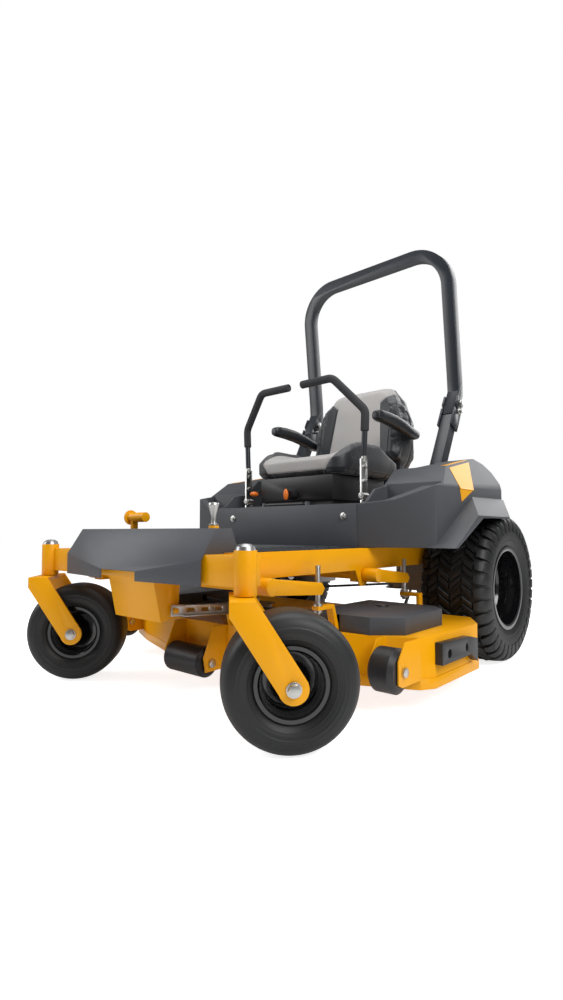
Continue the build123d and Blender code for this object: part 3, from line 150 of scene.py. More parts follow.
def coat(name, colour, drift, rough, grain, depth, metal=0.0, clear=0.0, spread=0.05):
    """A finish with broad tone drift, fine grain and uneven gloss, in object space."""
    material = bpy.data.materials.new(name)
    material.use_nodes = True
    tree = material.node_tree
    surface = tree.nodes["Principled BSDF"]
    surface.inputs["Metallic"].default_value = metal
    surface.inputs["Coat Weight"].default_value = clear
    surface.inputs["Coat Roughness"].default_value = 0.12
    where = tree.nodes.new("ShaderNodeTexCoord")
    broad = tree.nodes.new("ShaderNodeTexNoise")
    broad.inputs["Scale"].default_value = 4.0
    broad.inputs["Detail"].default_value = 3.0
    fine = tree.nodes.new("ShaderNodeTexNoise")
    fine.inputs["Scale"].default_value = grain
    fine.inputs["Detail"].default_value = 2.0
    for texture in (broad, fine):
        tree.links.new(where.outputs["Object"], texture.inputs["Vector"])
    tone = tree.nodes.new("ShaderNodeValToRGB")
    tone.color_ramp.elements[0].position = 0.35
    tone.color_ramp.elements[0].color = (*[c * (1 - drift) for c in colour], 1)
    tone.color_ramp.elements[1].position = 0.65
    tone.color_ramp.elements[1].color = (*colour, 1)
    tree.links.new(broad.outputs["Fac"], tone.inputs["Fac"])
    tree.links.new(tone.outputs["Color"], surface.inputs["Base Color"])
    gloss = tree.nodes.new("ShaderNodeMapRange")
    gloss.inputs["To Min"].default_value = rough - spread
    gloss.inputs["To Max"].default_value = rough + spread
    tree.links.new(fine.outputs["Fac"], gloss.inputs["Value"])
    tree.links.new(gloss.outputs["Result"], surface.inputs["Roughness"])
    relief = tree.nodes.new("ShaderNodeBump")
    relief.inputs["Distance"].default_value = depth
    relief.inputs["Strength"].default_value = 0.6
    tree.links.new(fine.outputs["Fac"], relief.inputs["Height"])
    tree.links.new(relief.outputs["Normal"], surface.inputs["Normal"])
    return material


def set_down(piece, body, material=None):
    """Rides a finished piece on its body and gives it its finish."""
    if material is not None:
        piece.data.materials.clear()
        piece.data.materials.append(material)
    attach(piece, body)
    return piece


def applied(piece):
    """The piece with its modifiers baked into a plain mesh."""
    bpy.context.view_layer.update()
    graph = bpy.context.evaluated_depsgraph_get()
    mesh = bpy.data.meshes.new_from_object(piece.evaluated_get(graph))
    piece.modifiers.clear()
    piece.data = mesh
    return piece


def smooth(piece, degrees=34):
    piece.data.shade_smooth()
    piece.data.set_sharp_from_angle(angle=math.radians(degrees))
    return piece


def eased(node, width, material, angle=30, segments=2):
    """A pressed or welded part with its real edge radius, in place of the sharp one."""
    source = frame["nodes"][node]
    bm = bmesh.new()
    bm.from_mesh(source.data)
    bmesh.ops.remove_doubles(bm, verts=bm.verts, dist=2e-5)
    bmesh.ops.dissolve_limit(
        bm, angle_limit=math.radians(0.6), verts=bm.verts, edges=bm.edges
    )
    mesh = bpy.data.meshes.new(node + "_eased")
    bm.to_mesh(mesh)
    bm.free()
    piece = linked(node + "_eased", mesh)
    edge = piece.modifiers.new("edge", "BEVEL")
    edge.width = width / 1000
    edge.segments = segments
    edge.limit_method = "ANGLE"
    edge.angle_limit = math.radians(angle)
    applied(piece)
    smooth(piece)
    set_down(piece, source["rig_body"], material)
    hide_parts(node)
    return piece


def painted(material, *nodes):
    """CAD pieces whose shape is right, with their real finish."""
    for node in nodes:
        mesh = frame["nodes"][node].data
        mesh.materials.clear()
        mesh.materials.append(material)


YELLOW = (0.90, 0.395, 0.0)
yellow = coat("powder_yellow", YELLOW, 0.06, 0.36, 900, 0.00006, clear=0.08)
yellow.node_tree.nodes["Principled BSDF"].inputs["Specular IOR Level"].default_value = 0.28
eased("main_frame", 1.6, yellow)

# ---- front cover and seat box -------------------------------------------------------
# Bent steel sheet with a fine textured charcoal powder coat, and the foot platform in
# satin slate. Their edges have the small radius of folded and painted sheet.
CHARCOAL = (0.070, 0.074, 0.086)
charcoal = coat("powder_charcoal", CHARCOAL, 0.12, 0.5, 1500, 0.00018)
eased("front_cover", 2.0, charcoal)
eased("seat_box", 2.0, charcoal)
slate = coat("satin_slate", (0.017, 0.021, 0.028), 0.15, 0.34, 1300, 0.00006)
eased("floor_pan", 1.2, slate)

# ---- bolts, pins and bearings -------------------------------------------------------
# Zinc plated steel fasteners, turned and rolled, with bare steel on the running parts:
# bearings, spindles with their blades, and the crankshaft's pulleys.
zinc = coat("zinc_plate", (0.62, 0.62, 0.60), 0.18, 0.34, 260, 0.00004, metal=1.0)
steel = coat("bare_steel", (0.42, 0.42, 0.43), 0.2, 0.36, 300, 0.00006, metal=1.0)
eased("frame_bolts", 0.8, zinc)
eased("rops_lock_pins", 0.8, zinc)
painted(steel, "caster_bearings", "crank_pulleys")
painted(steel, "spindle_left", "spindle_middle", "spindle_right")
for side in ("left", "right"):
    eased("caster_axle_" + side, 0.8, zinc)
    eased("lever_base_" + side, 1.0, zinc)
eased("deck_hardware", 0.8, zinc)
eased("height_pin", 0.8, zinc)
eased("deck_strut", 0.8, zinc)

# ---- fenders ------------------------------------------------------------------------
# Rotational moulded polyethylene shells, dull charcoal with a fine mould grain. A blank
# yellow panel is set into the side and the top edge of each tower.
grained = coat("moulded_charcoal", (0.060, 0.064, 0.073), 0.12, 0.5, 1100, 0.00022)
for side in ("left", "right"):
    eased("fender_" + side, 5.0, grained, segments=3)
WAIST, LEAN = 671, 0.439
WALL_X, WAIST_X = 608.5, 612
CREST_FRONT, CREST_REAR = (-375, 753), (-61, 812)
PROUD, CREST_ROUND = 1.2, 3


def side_x(z):
    """Outer face of the tower: upright below the waist and leaning in above it."""
    return WALL_X if z < WAIST else WAIST_X - LEAN * (z - WAIST)


def crest_z(y):
    """Height of the tower's sloping top."""
    rise = CREST_REAR[1] - CREST_FRONT[1]
    return CREST_FRONT[1] + (y - CREST_FRONT[0]) * rise / (CREST_REAR[0] - CREST_FRONT[0])


for side, sign in (("left", 1), ("right", -1)):
    upper = [(-350, 749), (-130, 791), (-213, WAIST), (-331, WAIST)]
    lower = [(-331, WAIST), (-213, WAIST), (-316, 624)]
    top = [(-356, 0), (-130, 0), (-130, 26), (-352, 26)]
    faces = [
        [(side_x(z) + PROUD, y, z) for y, z in upper],
        [(side_x(z - 1) + PROUD, y, z) for y, z in lower],
        [
            (side_x(crest_z(y)) - inward - CREST_ROUND, y, crest_z(y) + PROUD)
            for y, inward in top
        ],
    ]
    for number, corners in enumerate(faces):
        bm = bmesh.new()
        loop = bm.faces.new([bm.verts.new(at(sign * x, y, z)) for x, y, z in corners])
        loop.normal_update()
        outward = Vector((sign, 0, 0.6))
        if loop.normal.dot(outward) < 0:
            loop.normal_flip()
        mesh = bpy.data.meshes.new("fender_inset")
        bm.to_mesh(mesh)
        bm.free()
        inset = linked("fender_inset_%s_%d" % (side, number + 1), mesh)
        wall = inset.modifiers.new("wall", "SOLIDIFY")
        wall.thickness = 0.003
        wall.offset = -1
        edge = inset.modifiers.new("edge", "BEVEL")
        edge.width = 0.0006
        set_down(applied(inset), "frame", yellow)
black = coat("moulded_black", (0.014, 0.014, 0.016), 0.2, 0.42, 900, 0.0001)
painted(black, "fuel_cap", "throttle_lever", "deck_roller")
painted(black, "gauge_wheel_left", "gauge_wheel_right")

# ---- roll bar -----------------------------------------------------------------------
# Square steel tube, bent and painted satin slate. The lower posts stay on the frame and
# the hoop folds at its hinge bolts.
eased("rops_posts", 2.0, slate)
eased("rops_hoop", 4.0, slate)

# ---- casters ------------------------------------------------------------------------
# Thick plate forks welded to a forged stem, gloss black pressed rims and smooth, almost
# square-shouldered tyres with a few moulded rings on the sidewall.
TURN_SEGMENTS = 128


def flowing(points, steps):
    """A smooth line through a row of points, ends kept."""
    line = []
    for i in range(len(points) - 1):
        before = points[max(i - 1, 0)]
        after = points[min(i + 2, len(points) - 1)]
        for step in range(steps):
            t = step / steps
            line.append(
                tuple(
                    0.5
                    * (
                        2 * p1
                        + (p2 - p0) * t
                        + (2 * p0 - 5 * p1 + 4 * p2 - p3) * t * t
                        + (3 * p1 - p0 - 3 * p2 + p3) * t ** 3
                    )
                    for p0, p1, p2, p3 in zip(before, points[i], points[i + 1], after)
                )
            )
    line.append(tuple(points[-1]))
    return line


def lathe(profile, closed=True, segments=TURN_SEGMENTS):
    """A bmesh turned about x from (along, radius) points in millimetres."""
    bm = bmesh.new()
    rings = []
    for step in range(segments):
        angle = 2 * math.pi * step / segments
        rings.append(
            [
                bm.verts.new(
                    (x / 1000, r * math.cos(angle) / 1000, r * math.sin(angle) / 1000)
                )
                for x, r in profile
            ]
        )
    count = len(profile)
    for step in range(segments):
        here, there = rings[step], rings[(step + 1) % segments]
        for i in range(count if closed else count - 1):
            j = (i + 1) % count
            bm.faces.new((here[i], here[j], there[j], there[i]))
    bmesh.ops.remove_doubles(bm, verts=bm.verts, dist=1e-6)
    bmesh.ops.recalc_face_normals(bm, faces=bm.faces)
    return bm


def shaped(name, bm, material, place=None, degrees=34):
    """A finished mesh object from a bmesh, set into its place."""
    if place is not None:
        bmesh.ops.transform(bm, matrix=place, verts=bm.verts)
    mesh = bpy.data.meshes.new(name)
    bm.to_mesh(mesh)
    bm.free()
    mesh.materials.append(material)
    return smooth(linked(name, mesh), degrees)


def wheel_place(node):
    """Centre of a wheel."""
    low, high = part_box(node)
    return (low + high) / 2


def both_halves(half):
    return [(-x, r) for x, r in reversed(half)] + list(half)


TYRE_BLACK = (0.010, 0.0105, 0.0115)
rubber = coat("tyre_rubber", TYRE_BLACK, 0.3, 0.5, 420, 0.0002, spread=0.08)
gloss = coat("gloss_black", (0.006, 0.006, 0.007), 0.1, 0.14, 60, 0.00002, clear=0.6)
CASTER_YAW = math.radians(-43.2)
CASTER_SIDE = [
    (0, 164.8), (26, 164.6), (46, 163.2), (62, 158.5), (73, 150.5), (79.5, 139),
    (82, 126), (79.5, 112), (73.5, 100.5), (67, 92.5), (63, 90), (62, 80.4),
]
CASTER_RINGS = ((121, 0.9), (131, 0.9), (104, 1.0))
CASTER_RIM = [
    (4, 70), (5, 55), (9, 44), (18, 34), (34, 27.5), (60, 25), (88, 24), (89, 20), (89, 10.1),
]
CASTER_BARREL = [
    (4, 70), (10, 73), (30, 74), (40, 77.5), (60, 78), (62.4, 80), (62.4, 88.9), (64.2, 89.4),
    (66, 88), (65.4, 79), (61, 74.5), (42, 74.2), (32, 70), (12, 68), (8, 64),
]


def ringed(line, rings):
    """Raises thin moulded rings on a tyre's sidewall."""
    raised = []
    for x, r in line:
        lift = sum(h * math.exp(-(((r - at_r) / 1.3) ** 2)) for at_r, h in rings)
        raised.append((x + math.copysign(lift, x) if abs(x) > 40 else x, r))
    return raised


for side in ("left", "right"):
    eased("caster_fork_" + side, 2.5, yellow)
    turn = Matrix.Rotation(CASTER_YAW, 4, "Z")
    centre = wheel_place("caster_tyre_" + side)
    place = Matrix.Translation(centre) @ turn
    wall = ringed(flowing(CASTER_SIDE, 8), CASTER_RINGS)
    tyre = shaped("caster_tyre_smooth_" + side, lathe(both_halves(wall)), rubber, place)
    set_down(tyre, "caster_wheel_" + side)
    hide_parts("caster_tyre_" + side)
    rim_line = flowing(CASTER_RIM[:7], 4) + CASTER_RIM[7:]
    bm = lathe(both_halves(rim_line), closed=True)
    for sign in (1, -1):
        barrel = lathe([(sign * x, r) for x, r in CASTER_BARREL])
        mesh = bpy.data.meshes.new("barrel")
        barrel.to_mesh(mesh)
        barrel.free()
        bm.from_mesh(mesh)
    rim = shaped("caster_rim_pressed_" + side, bm, gloss, place)
    set_down(rim, "caster_wheel_" + side)
    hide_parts("caster_rim_" + side)

# ---- drive wheels -------------------------------------------------------------------
# Wide all-terrain turf tyres on deep dished gloss black rims. The tread is a staggered
# pattern of slanted twin blocks with notched shoulder lugs that run down the sidewall.
DRIVE_SIDE = [
    (0, 281.5), (40, 281), (78, 278.5), (102, 273), (118, 264), (127, 252), (130.5, 234),
    (130, 214), (126.5, 194), (121.5, 178), (116.5, 168.5), (115, 166.2), (115, 152.4),
]
DRIVE_RINGS = ((186, 1.2), (222, 0.8), (240, 0.8))
CENTRE_PITCHES = 26
SHOULDER_PITCHES = 18
LUG_ROOT, LUG_TOP, LUG_WIDTH, CROWN = 276, 291.8, 19, 2900


def ring_tree():
    """Repeats a lug about the x axis: count and phase set the spacing."""
    tree = bpy.data.node_groups.new("ring_of_pieces", "GeometryNodeTree")
    face = tree.interface
    face.new_socket("Geometry", in_out="OUTPUT", socket_type="NodeSocketGeometry")
    face.new_socket("Geometry", in_out="INPUT", socket_type="NodeSocketGeometry")
    face.new_socket("Piece", in_out="INPUT", socket_type="NodeSocketObject")
    face.new_socket("Count", in_out="INPUT", socket_type="NodeSocketInt")
    face.new_socket("Phase", in_out="INPUT", socket_type="NodeSocketFloat")
    face.new_socket("Finish", in_out="INPUT", socket_type="NodeSocketMaterial")
    add = tree.nodes.new
    given, result = add("NodeGroupInput"), add("NodeGroupOutput")
    points, index = add("GeometryNodePoints"), add("GeometryNodeInputIndex")
    moved, divided, scaled = add("ShaderNodeMath"), add("ShaderNodeMath"), add("ShaderNodeMath")
    moved.operation, divided.operation, scaled.operation = "ADD", "DIVIDE", "MULTIPLY"
    scaled.inputs[1].default_value = 2 * math.pi
    turn, piece = add("ShaderNodeCombineXYZ"), add("GeometryNodeObjectInfo")
    spread = add("GeometryNodeInstanceOnPoints")
    real, dressed = add("GeometryNodeRealizeInstances"), add("GeometryNodeSetMaterial")
    for start, end in (
        (given.outputs["Count"], points.inputs["Count"]),
        (index.outputs["Index"], moved.inputs[0]),
        (given.outputs["Phase"], moved.inputs[1]),
        (moved.outputs[0], divided.inputs[0]),
        (given.outputs["Count"], divided.inputs[1]),
        (divided.outputs[0], scaled.inputs[0]),
        (scaled.outputs[0], turn.inputs["X"]),
        (given.outputs["Piece"], piece.inputs["Object"]),
        (points.outputs["Points"], spread.inputs["Points"]),
        (piece.outputs["Geometry"], spread.inputs["Instance"]),
        (turn.outputs["Vector"], spread.inputs["Rotation"]),
        (spread.outputs["Instances"], real.inputs["Geometry"]),
        (real.outputs["Geometry"], dressed.inputs["Geometry"]),
        (given.outputs["Finish"], dressed.inputs["Material"]),
        (dressed.outputs["Geometry"], result.inputs["Geometry"]),
    ):
        tree.links.new(start, end)
    return tree


ring_of_pieces = ring_tree()


def ring(bm, count, phase, material):
    """A mesh with the given lug repeated round the wheel."""
    lug = bpy.data.meshes.new("lug")
    bm.to_mesh(lug)
    bm.free()
    pattern = linked("pattern", lug)
    carrier = linked("carrier", bpy.data.meshes.new("carrier"))
    repeat = carrier.modifiers.new("repeat", "NODES")
    repeat.node_group = ring_of_pieces
    wanted = {"Piece": pattern, "Count": count, "Phase": phase, "Finish": material}
    for item in ring_of_pieces.interface.items_tree:
        if item.in_out == "INPUT" and item.name in wanted:
            repeat[item.identifier] = wanted[item.name]
    applied(carrier)
    mesh = carrier.data
    bpy.data.objects.remove(carrier)
    bpy.data.objects.remove(pattern)
    return mesh


def lug(sections):
    """A tread block from cross sections: (x, inner radius, outer radius, y low, y high)."""
    bm = bmesh.new()
    rows = []
    chamfer = 1.6
    for x, inner, outer, y0, y1 in sections:
        corners = (
            (y0 - 1.2, inner), (y0, outer - chamfer), (y0 + chamfer, outer),
            (y1 - chamfer, outer), (y1, outer - chamfer), (y1 + 1.2, inner),
        )
        rows.append([bm.verts.new((x / 1000, y / 1000, r / 1000)) for y, r in corners])
    for here, there in zip(rows, rows[1:]):
        for i in range(5):
            bm.faces.new((here[i], here[i + 1], there[i + 1], there[i]))
    bm.faces.new(rows[0])
    bm.faces.new(rows[-1])
    bmesh.ops.recalc_face_normals(bm, faces=bm.faces)
    return bm


def slanted(x0, x1, y0, slant, width, top):
    """One bar of a centre block, running aslant from x0 to x1."""
    sections = []
    for x in (x0, x0 + (x1 - x0) * 0.5, x1):
        low = y0 + slant * (x - x0)
        sections.append((x, LUG_ROOT, top - abs(x) * abs(x) / CROWN, low, low + width))
    return lug(sections)


def tread_meshes():
    rows = []
    for sign in (1, -1):
        for twin in (0, 25.5):
            near = slanted(sign * 3, sign * 43, twin - 26, sign * 0.8, LUG_WIDTH, LUG_TOP)
            far = slanted(sign * 50, sign * 84, twin - 4, sign * -0.75, LUG_WIDTH, LUG_TOP)
            rows.append((near, CENTRE_PITCHES, 0.0))
            rows.append((far, CENTRE_PITCHES, 0.3))
        for notch, long in ((0, 1.0), (0.5, 0.86)):
            sections = [
                (sign * (99 - 9 * long), 270, 288.4, -13, 13),
                (sign * 104, 266, 286.4, -18, 17),
                (sign * 114, 256, 281.0, -18.5, 18),
                (sign * 124.5, 248, 270.5, -18, 18),
                (sign * 131.6, 240, 257.0 - 4 * long, -16, 16),
                (sign * 133.2, 222, 244 - 14 * long, -13, 13),
            ]
            rows.append((lug(sections), SHOULDER_PITCHES, notch))
    return rows


def drive_tyre_mesh():
    bm = lathe(both_halves(ringed(flowing(DRIVE_SIDE, 7), DRIVE_RINGS)))
    for block, count, phase in tread_meshes():
        bm.from_mesh(ring(block, count, phase, rubber))
    return bm


RIM_DISH = [
    (-14, 31), (-14, 60), (-13, 86), (-9, 100), (4, 114), (14, 124), (18, 134), (20, 143),
    (28, 146.5), (52, 147), (60, 144.6), (68, 144.4), (76, 148.5), (100, 149.5), (112, 151),
    (115.5, 155), (115.6, 163), (117.4, 165), (119, 163.6), (118.4, 152),
]
RIM_BACK = [
    (116, 146), (100, 145), (78, 144), (68, 140), (58, 140.4), (50, 142.6), (28, 142),
    (12, 130), (-4, 116), (-18, 100), (-20, 60), (-20, 31),
]
RIM_INNER = [
    (-119, 163.6), (-117.4, 165), (-115.6, 163), (-115.5, 153), (-60, 149), (20, 147),
    (20, 143), (-60, 145), (-116, 149),
]


def lug_nut():
    bm = bmesh.new()
    heights = ((-7.6, 11.6), (4.5, 11.6), (6.5, 9.8))
    rows = [
        [
            bm.verts.new((x / 1000, (r * math.cos(a)) / 1000, (57 + r * math.sin(a)) / 1000))
            for a in [math.pi / 3 * k for k in range(6)]
        ]
        for x, r in heights
    ]
    for here, there in zip(rows, rows[1:]):
        for i in range(6):
            bm.faces.new((here[i], here[(i + 1) % 6], there[(i + 1) % 6], there[i]))
    bm.faces.new(rows[0])
    bm.faces.new(rows[-1])
    bmesh.ops.recalc_face_normals(bm, faces=bm.faces)
    return bm


HUB_LINE = [(-62, 20), (-62, 33), (-15, 34), (-14, 29), (2, 28.5), (5, 26), (6, 20)]
for side, facing in (("left", 0), ("right", math.pi)):
    body = "drive_wheel_" + side
    place = Matrix.Translation(wheel_place("drive_tyre_" + side))
    place = place @ Matrix.Rotation(facing, 4, "Z")
    tyre = shaped("drive_tyre_treaded_" + side, drive_tyre_mesh(), rubber, place)
    set_down(tyre, body)
    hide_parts("drive_tyre_" + side)
    bm = lathe(flowing(RIM_DISH, 3) + RIM_BACK)
    inner = lathe(RIM_INNER)
    mesh = bpy.data.meshes.new("inner")
    inner.to_mesh(mesh)
    inner.free()
    bm.from_mesh(mesh)
    rim = shaped("drive_rim_dished_" + side, bm, gloss, place)
    set_down(rim, body)
    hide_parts("drive_rim_" + side)
    hub = lathe(HUB_LINE)
    hub.from_mesh(ring(lug_nut(), 5, 0.0, zinc))
    nuts = shaped("wheel_hub_" + side, hub, zinc, place)
    set_down(nuts, body)

# ---- controls -----------------------------------------------------------------------
# Lap bars: bare plated flats at the foot, satin slate above, and thick soft foam sleeves
# over the bent tube, rounded at their ends.
GRIP_SWELL = 0.002
BARE_TOP = 800
foam = coat("grip_foam", (0.030, 0.031, 0.035), 0.2, 0.75, 1400, 0.0004)
for side in ("left", "right"):
    bar = eased("lap_bar_" + side, 1.0, slate)
    bm = bmesh.new()
    bm.from_mesh(bar.data)
    cut = at(0, 0, BARE_TOP)
    whole = bm.verts[:] + bm.edges[:] + bm.faces[:]
    bmesh.ops.bisect_plane(bm, geom=whole, plane_co=cut, plane_no=(0, 0, 1))
    for face in bm.faces:
        if face.calc_center_median().z < cut.z:
            face.material_index = 1
    bm.to_mesh(bar.data)
    bm.free()
    bar.data.materials.append(zinc)
    grip = eased("lap_grip_" + side, 5.0, foam, angle=50, segments=4)
    swell = [n.vector.copy() for n in grip.data.vertex_normals]
    for v, normal in zip(grip.data.vertices, swell):
        v.co += normal * GRIP_SWELL

# ---- seat ---------------------------------------------------------------------------
# Moulded foam under a sewn cover: a light woven panel over the middle and the front, with
# smooth black bolsters. Each pad is blown up as cloth and its seams are drawn in after.
VINYL_BLACK = (0.013, 0.015, 0.019)
SEAM_HALF, SEAM_DEPTH = 4.5, 0.0034
vinyl = coat("seat_vinyl", VINYL_BLACK, 0.2, 0.36, 500, 0.0002)


def cover():
    """Woven cloth where the panel attribute is low and black vinyl where it is high."""
    material = coat("seat_cover", (0.40, 0.385, 0.375), 0.1, 0.8, 1500, 0.0005)
    tree = material.node_tree
    surface = tree.nodes["Principled BSDF"]
    surface.inputs["Sheen Weight"].default_value = 0.25
    panel = tree.nodes.new("ShaderNodeAttribute")
    panel.attribute_name = "panel"
    edge = tree.nodes.new("ShaderNodeMapRange")
    edge.inputs["From Min"].default_value = -0.6
    edge.inputs["From Max"].default_value = 0.6
    tree.links.new(panel.outputs["Fac"], edge.inputs["Value"])
    for socket, value in (("Base Color", (*VINYL_BLACK, 1)), ("Roughness", (0.4, 0.4, 0.4, 1))):
        blend = tree.nodes.new("ShaderNodeMix")
        blend.data_type = "RGBA"
        link = surface.inputs[socket].links[0]
        tree.links.new(link.from_socket, blend.inputs["A"])
        blend.inputs["B"].default_value = value
        tree.links.new(edge.outputs["Result"], blend.inputs["Factor"])
        tree.links.new(blend.outputs["Result"], surface.inputs[socket])
    return material


def measured(co):
    """A frame point in millimetres from the ground under the axle."""
    return (co.x - AXLE_X) * 1000, (co.y - AXLE_Y) * 1000, (co.z - FLOOR_Z) * 1000


def ramp(value, low, high):
    t = min(max((value - low) / (high - low), 0), 1)
    return t * t * (3 - 2 * t)


def shrunk(node, name, inset):
    """A copy of a CAD pad, drawn in a little so that it can swell."""
    bm = bmesh.new()
    bm.from_mesh(frame["nodes"][node].data)
    bmesh.ops.remove_doubles(bm, verts=bm.verts, dist=2e-5)
    low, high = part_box(node)
    middle = (low + high) / 2
    for v in bm.verts:
        for axis in range(3):
            half = (high[axis] - low[axis]) / 2
            v.co[axis] = middle[axis] + (v.co[axis] - middle[axis]) * (1 - inset / 1000 / half)
    mesh = bpy.data.meshes.new(name)
    bm.to_mesh(mesh)
    bm.free()
    return linked(name, mesh)


def swollen(piece, voxel, cap, rounds):
    """Evens out a pad, blows it up as cloth and keeps every point within the cap."""
    even = piece.modifiers.new("even", "REMESH")
    even.mode = "VOXEL"
    even.voxel_size = voxel / 1000
    soften = piece.modifiers.new("soften", "SMOOTH")
    soften.iterations = rounds
    applied(piece)
    start = [v.co.copy() for v in piece.data.vertices]
    puff = piece.modifiers.new("puff", "CLOTH")
    puff.settings.quality = 4
    puff.settings.use_pressure = True
    puff.settings.uniform_pressure_force = 4
    puff.settings.effector_weights.gravity = 0
    puff.point_cache.frame_start = 1
    puff.point_cache.frame_end = 20
    for step in range(1, 21):
        bpy.context.scene.frame_set(step)
    applied(piece)
    bpy.context.scene.frame_set(1)
    for v, held in zip(piece.data.vertices, start):
        shift = v.co - held
        if shift.length > cap / 1000:
            v.co = held + shift.normalized() * cap / 1000
    finer = piece.modifiers.new("finer", "SUBSURF")
    finer.levels = finer.render_levels = 1
    finish = piece.modifiers.new("finish", "SMOOTH")
    finish.iterations = 4
    return applied(piece)


def sewn(piece, shape, seams):
    """Shapes a pad point by point, presses its seams in and marks its two covers."""
    mesh = piece.data
    normals = [n.vector.copy() for n in mesh.vertex_normals]
    panel = mesh.attributes.new("panel", "FLOAT", "POINT")
    for v, normal in zip(mesh.vertices, normals):
        x, y, z = measured(v.co)
        side, channels = seams(x, y, z)
        press = sum(math.exp(-((d / SEAM_HALF) ** 2)) for d in channels)
        panel.data[v.index].value = side
        dx, dy, dz = shape(x, y, z)
        v.co = at(x + dx, y + dy, z + dz) - normal * min(press, 1.0) * SEAM_DEPTH
    return smooth(piece, 60)


def cushion_shape(x, y, z):
    """Raised hips along the sides and a waterfall front."""
    hip = ramp(y, -560, -390) * (1 - ramp(y, -270, -110)) * ramp(abs(x), 150, 215)
    up = ramp(z, 760, 830)
    nose = (1 - ramp(y, -560, -440)) * up
    dx = math.copysign(1, x) * hip * 9 * ramp(z, 744, 790)
    return dx, 0.0, hip * up * 52 - nose * 12 + max(0.0, 744.6 - z)


def cushion_seams(x, y, z):
    wing = abs(x) - 152 - 36 * ramp(z, 744, 836)
    low = 757 - z
    return max(wing, low), (wing, low)


def back_shape(x, y, z):
    """Wings that wrap forward, and a hollow between them."""
    front = 1 - ramp(y, -60, 10)
    wing = ramp(abs(x), 120, 215) * (1 - ramp(z, 1090, 1180)) * ramp(z, 800, 880)
    crown = math.cos(min(abs(x) / 260, 1) * math.pi / 2) * 6
    shoulder = ramp(abs(x), 90, 230) * ramp(z, 1100, 1210)
    return 0.0, (-wing * 20 - crown) * front, -24 * shoulder


def back_seams(x, y, z):
    wing = abs(x) - 140 + 0.1 * (z - 900) - 1.3 * max(0.0, z - 1112)
    behind = y + 10 - 20 * ramp(z, 1120, 1200)
    pleat = abs(x) - 190
    channels = [wing, behind]
    if 850 < z < 1050 and y < 0:
        channels.append(pleat)
    return max(wing, behind), channels


covered = cover()
for node, name, shape, seams in (
    ("seat_cushion", "seat_cushion_sewn", cushion_shape, cushion_seams),
    ("seat_backrest", "seat_backrest_sewn", back_shape, back_seams),
):
    pad = sewn(swollen(shrunk(node, name, 9), 6, 12, 10), shape, seams)
    set_down(pad, "seat", covered)
    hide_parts(node)

ARM_LINE = [
    (-366, 984, 17, 18), (-340, 986, 25, 24), (-280, 985, 26, 26), (-215, 979, 26, 27),
    (-150, 968, 25, 27), (-95, 954, 24, 26), (-45, 946, 22, 24), (-14, 948, 17, 19),
]
ARM_MIDDLE, ARM_SIDES = 276, 16


def fuller(part):
    """Squares an oval section a little."""
    return math.copysign(abs(part) ** 0.7, part)


for side, sign in (("left", 1), ("right", -1)):
    bm = bmesh.new()
    loops = []
    for y, z, half_wide, half_high in ARM_LINE:
        loop = []
        for k in range(ARM_SIDES):
            angle = 2 * math.pi / ARM_SIDES * k
            across = half_wide * fuller(math.cos(angle))
            up = half_high * fuller(math.sin(angle))
            loop.append(bm.verts.new(at(sign * ARM_MIDDLE + across, y, z + up)))
        loops.append(loop)
    for here, there in zip(loops, loops[1:]):
        for k in range(ARM_SIDES):
            j = (k + 1) % ARM_SIDES
            bm.faces.new((here[k], here[j], there[j], there[k]))
    bm.faces.new(loops[0])
    bm.faces.new(loops[-1])
    bmesh.ops.recalc_face_normals(bm, faces=bm.faces)
    mesh = bpy.data.meshes.new("armrest_pad_" + side)
    bm.to_mesh(mesh)
    bm.free()
    rest = smooth(swollen(linked("armrest_pad_" + side, mesh), 5, 5, 6), 60)
    set_down(rest, "armrest_" + side[0], vinyl)
    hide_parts("armrest_" + side)
painted(black, "seat_plate", "weight_knob")
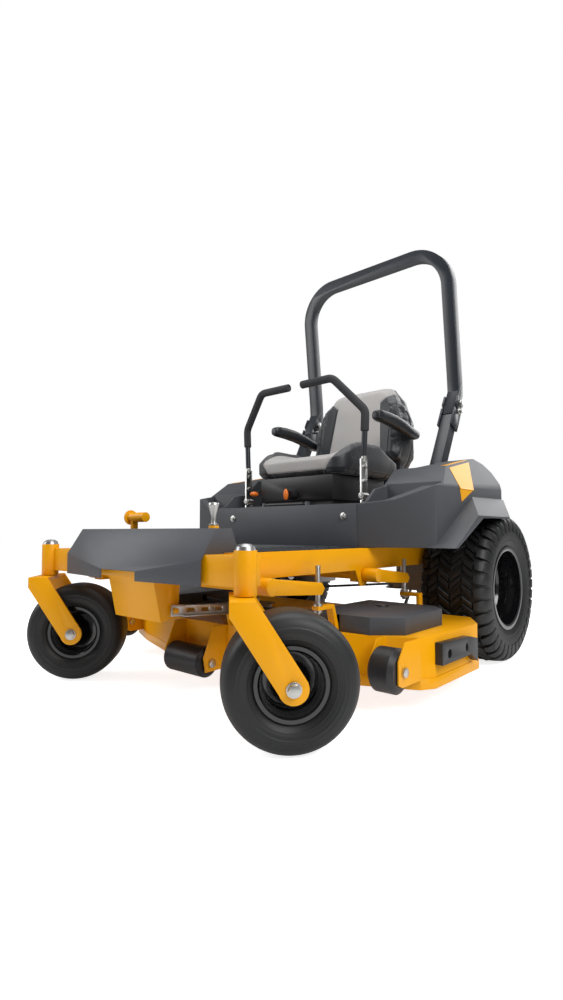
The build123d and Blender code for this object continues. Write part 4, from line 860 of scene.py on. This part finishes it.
eased("seat_frame", 16.0, black, segments=4)
orange = coat("moulded_orange", (0.85, 0.19, 0.012), 0.08, 0.4, 600, 0.00005)


def bead(name, centre, radii, body, place=None):
    """A smooth oval knob face or grip."""
    bm = bmesh.new()
    bmesh.ops.create_uvsphere(bm, u_segments=28, v_segments=16, radius=1)
    for v in bm.verts:
        v.co = at(*[centre[i] + v.co[i] * radii[i] for i in range(3)])
    mesh = bpy.data.meshes.new(name)
    bm.to_mesh(mesh)
    bm.free()
    return set_down(smooth(linked(name, mesh), 60), body, orange)


bead("knob_face", (-6, -590, 664), (11, 9, 23), "knob")
bead("slide_grip", (-212, -560, 676), (14, 22, 11), "seat")
bm = lathe([(-4, 0.1), (-4, 5), (70, 5), (70, 0.1)], segments=20)
lever = shaped(
    "slide_lever", bm, black,
    Matrix.Translation(at(-212, -548, 679)) @ Matrix.Rotation(math.radians(-66), 4, "X")
    @ Matrix.Rotation(math.radians(-90), 4, "Y"),
)
set_down(lever, "seat")

# ---- deck ---------------------------------------------------------------------------
# Welded shell and lift shafts in the frame's yellow, cast spindle housings, moulded belt
# covers and wear strip, and a rubber chute.
eased("deck_shell", 1.6, yellow)
cast = coat("cast_metal", (0.42, 0.43, 0.44), 0.25, 0.5, 220, 0.0003, metal=0.9)
eased("spindle_housings", 1.0, cast)
eased("belt_covers", 6.0, grained, segments=3)
bumper = eased("side_bumper", 4.0, black, segments=3)
REAR_BEND, REAR_SHARE = -600, 0.64
for v in bumper.data.vertices:
    x, y, z = measured(v.co)
    if y > REAR_BEND:
        v.co = at(x, REAR_BEND + (y - REAR_BEND) * REAR_SHARE, z)
painted(rubber, "deck_belt", "discharge_chute")
eased("rockshaft_front", 1.5, yellow)
eased("rockshaft_rear", 1.5, yellow)
eased("lift_pedal", 1.0, yellow)

# ---- engine and drives --------------------------------------------------------------
# Cast crankcase and axle drives under a black moulded fan shroud.
eased("engine_block", 2.0, cast)
eased("engine_shroud", 8.0, black, segments=3)
eased("hydro_drives", 2.0, cast)
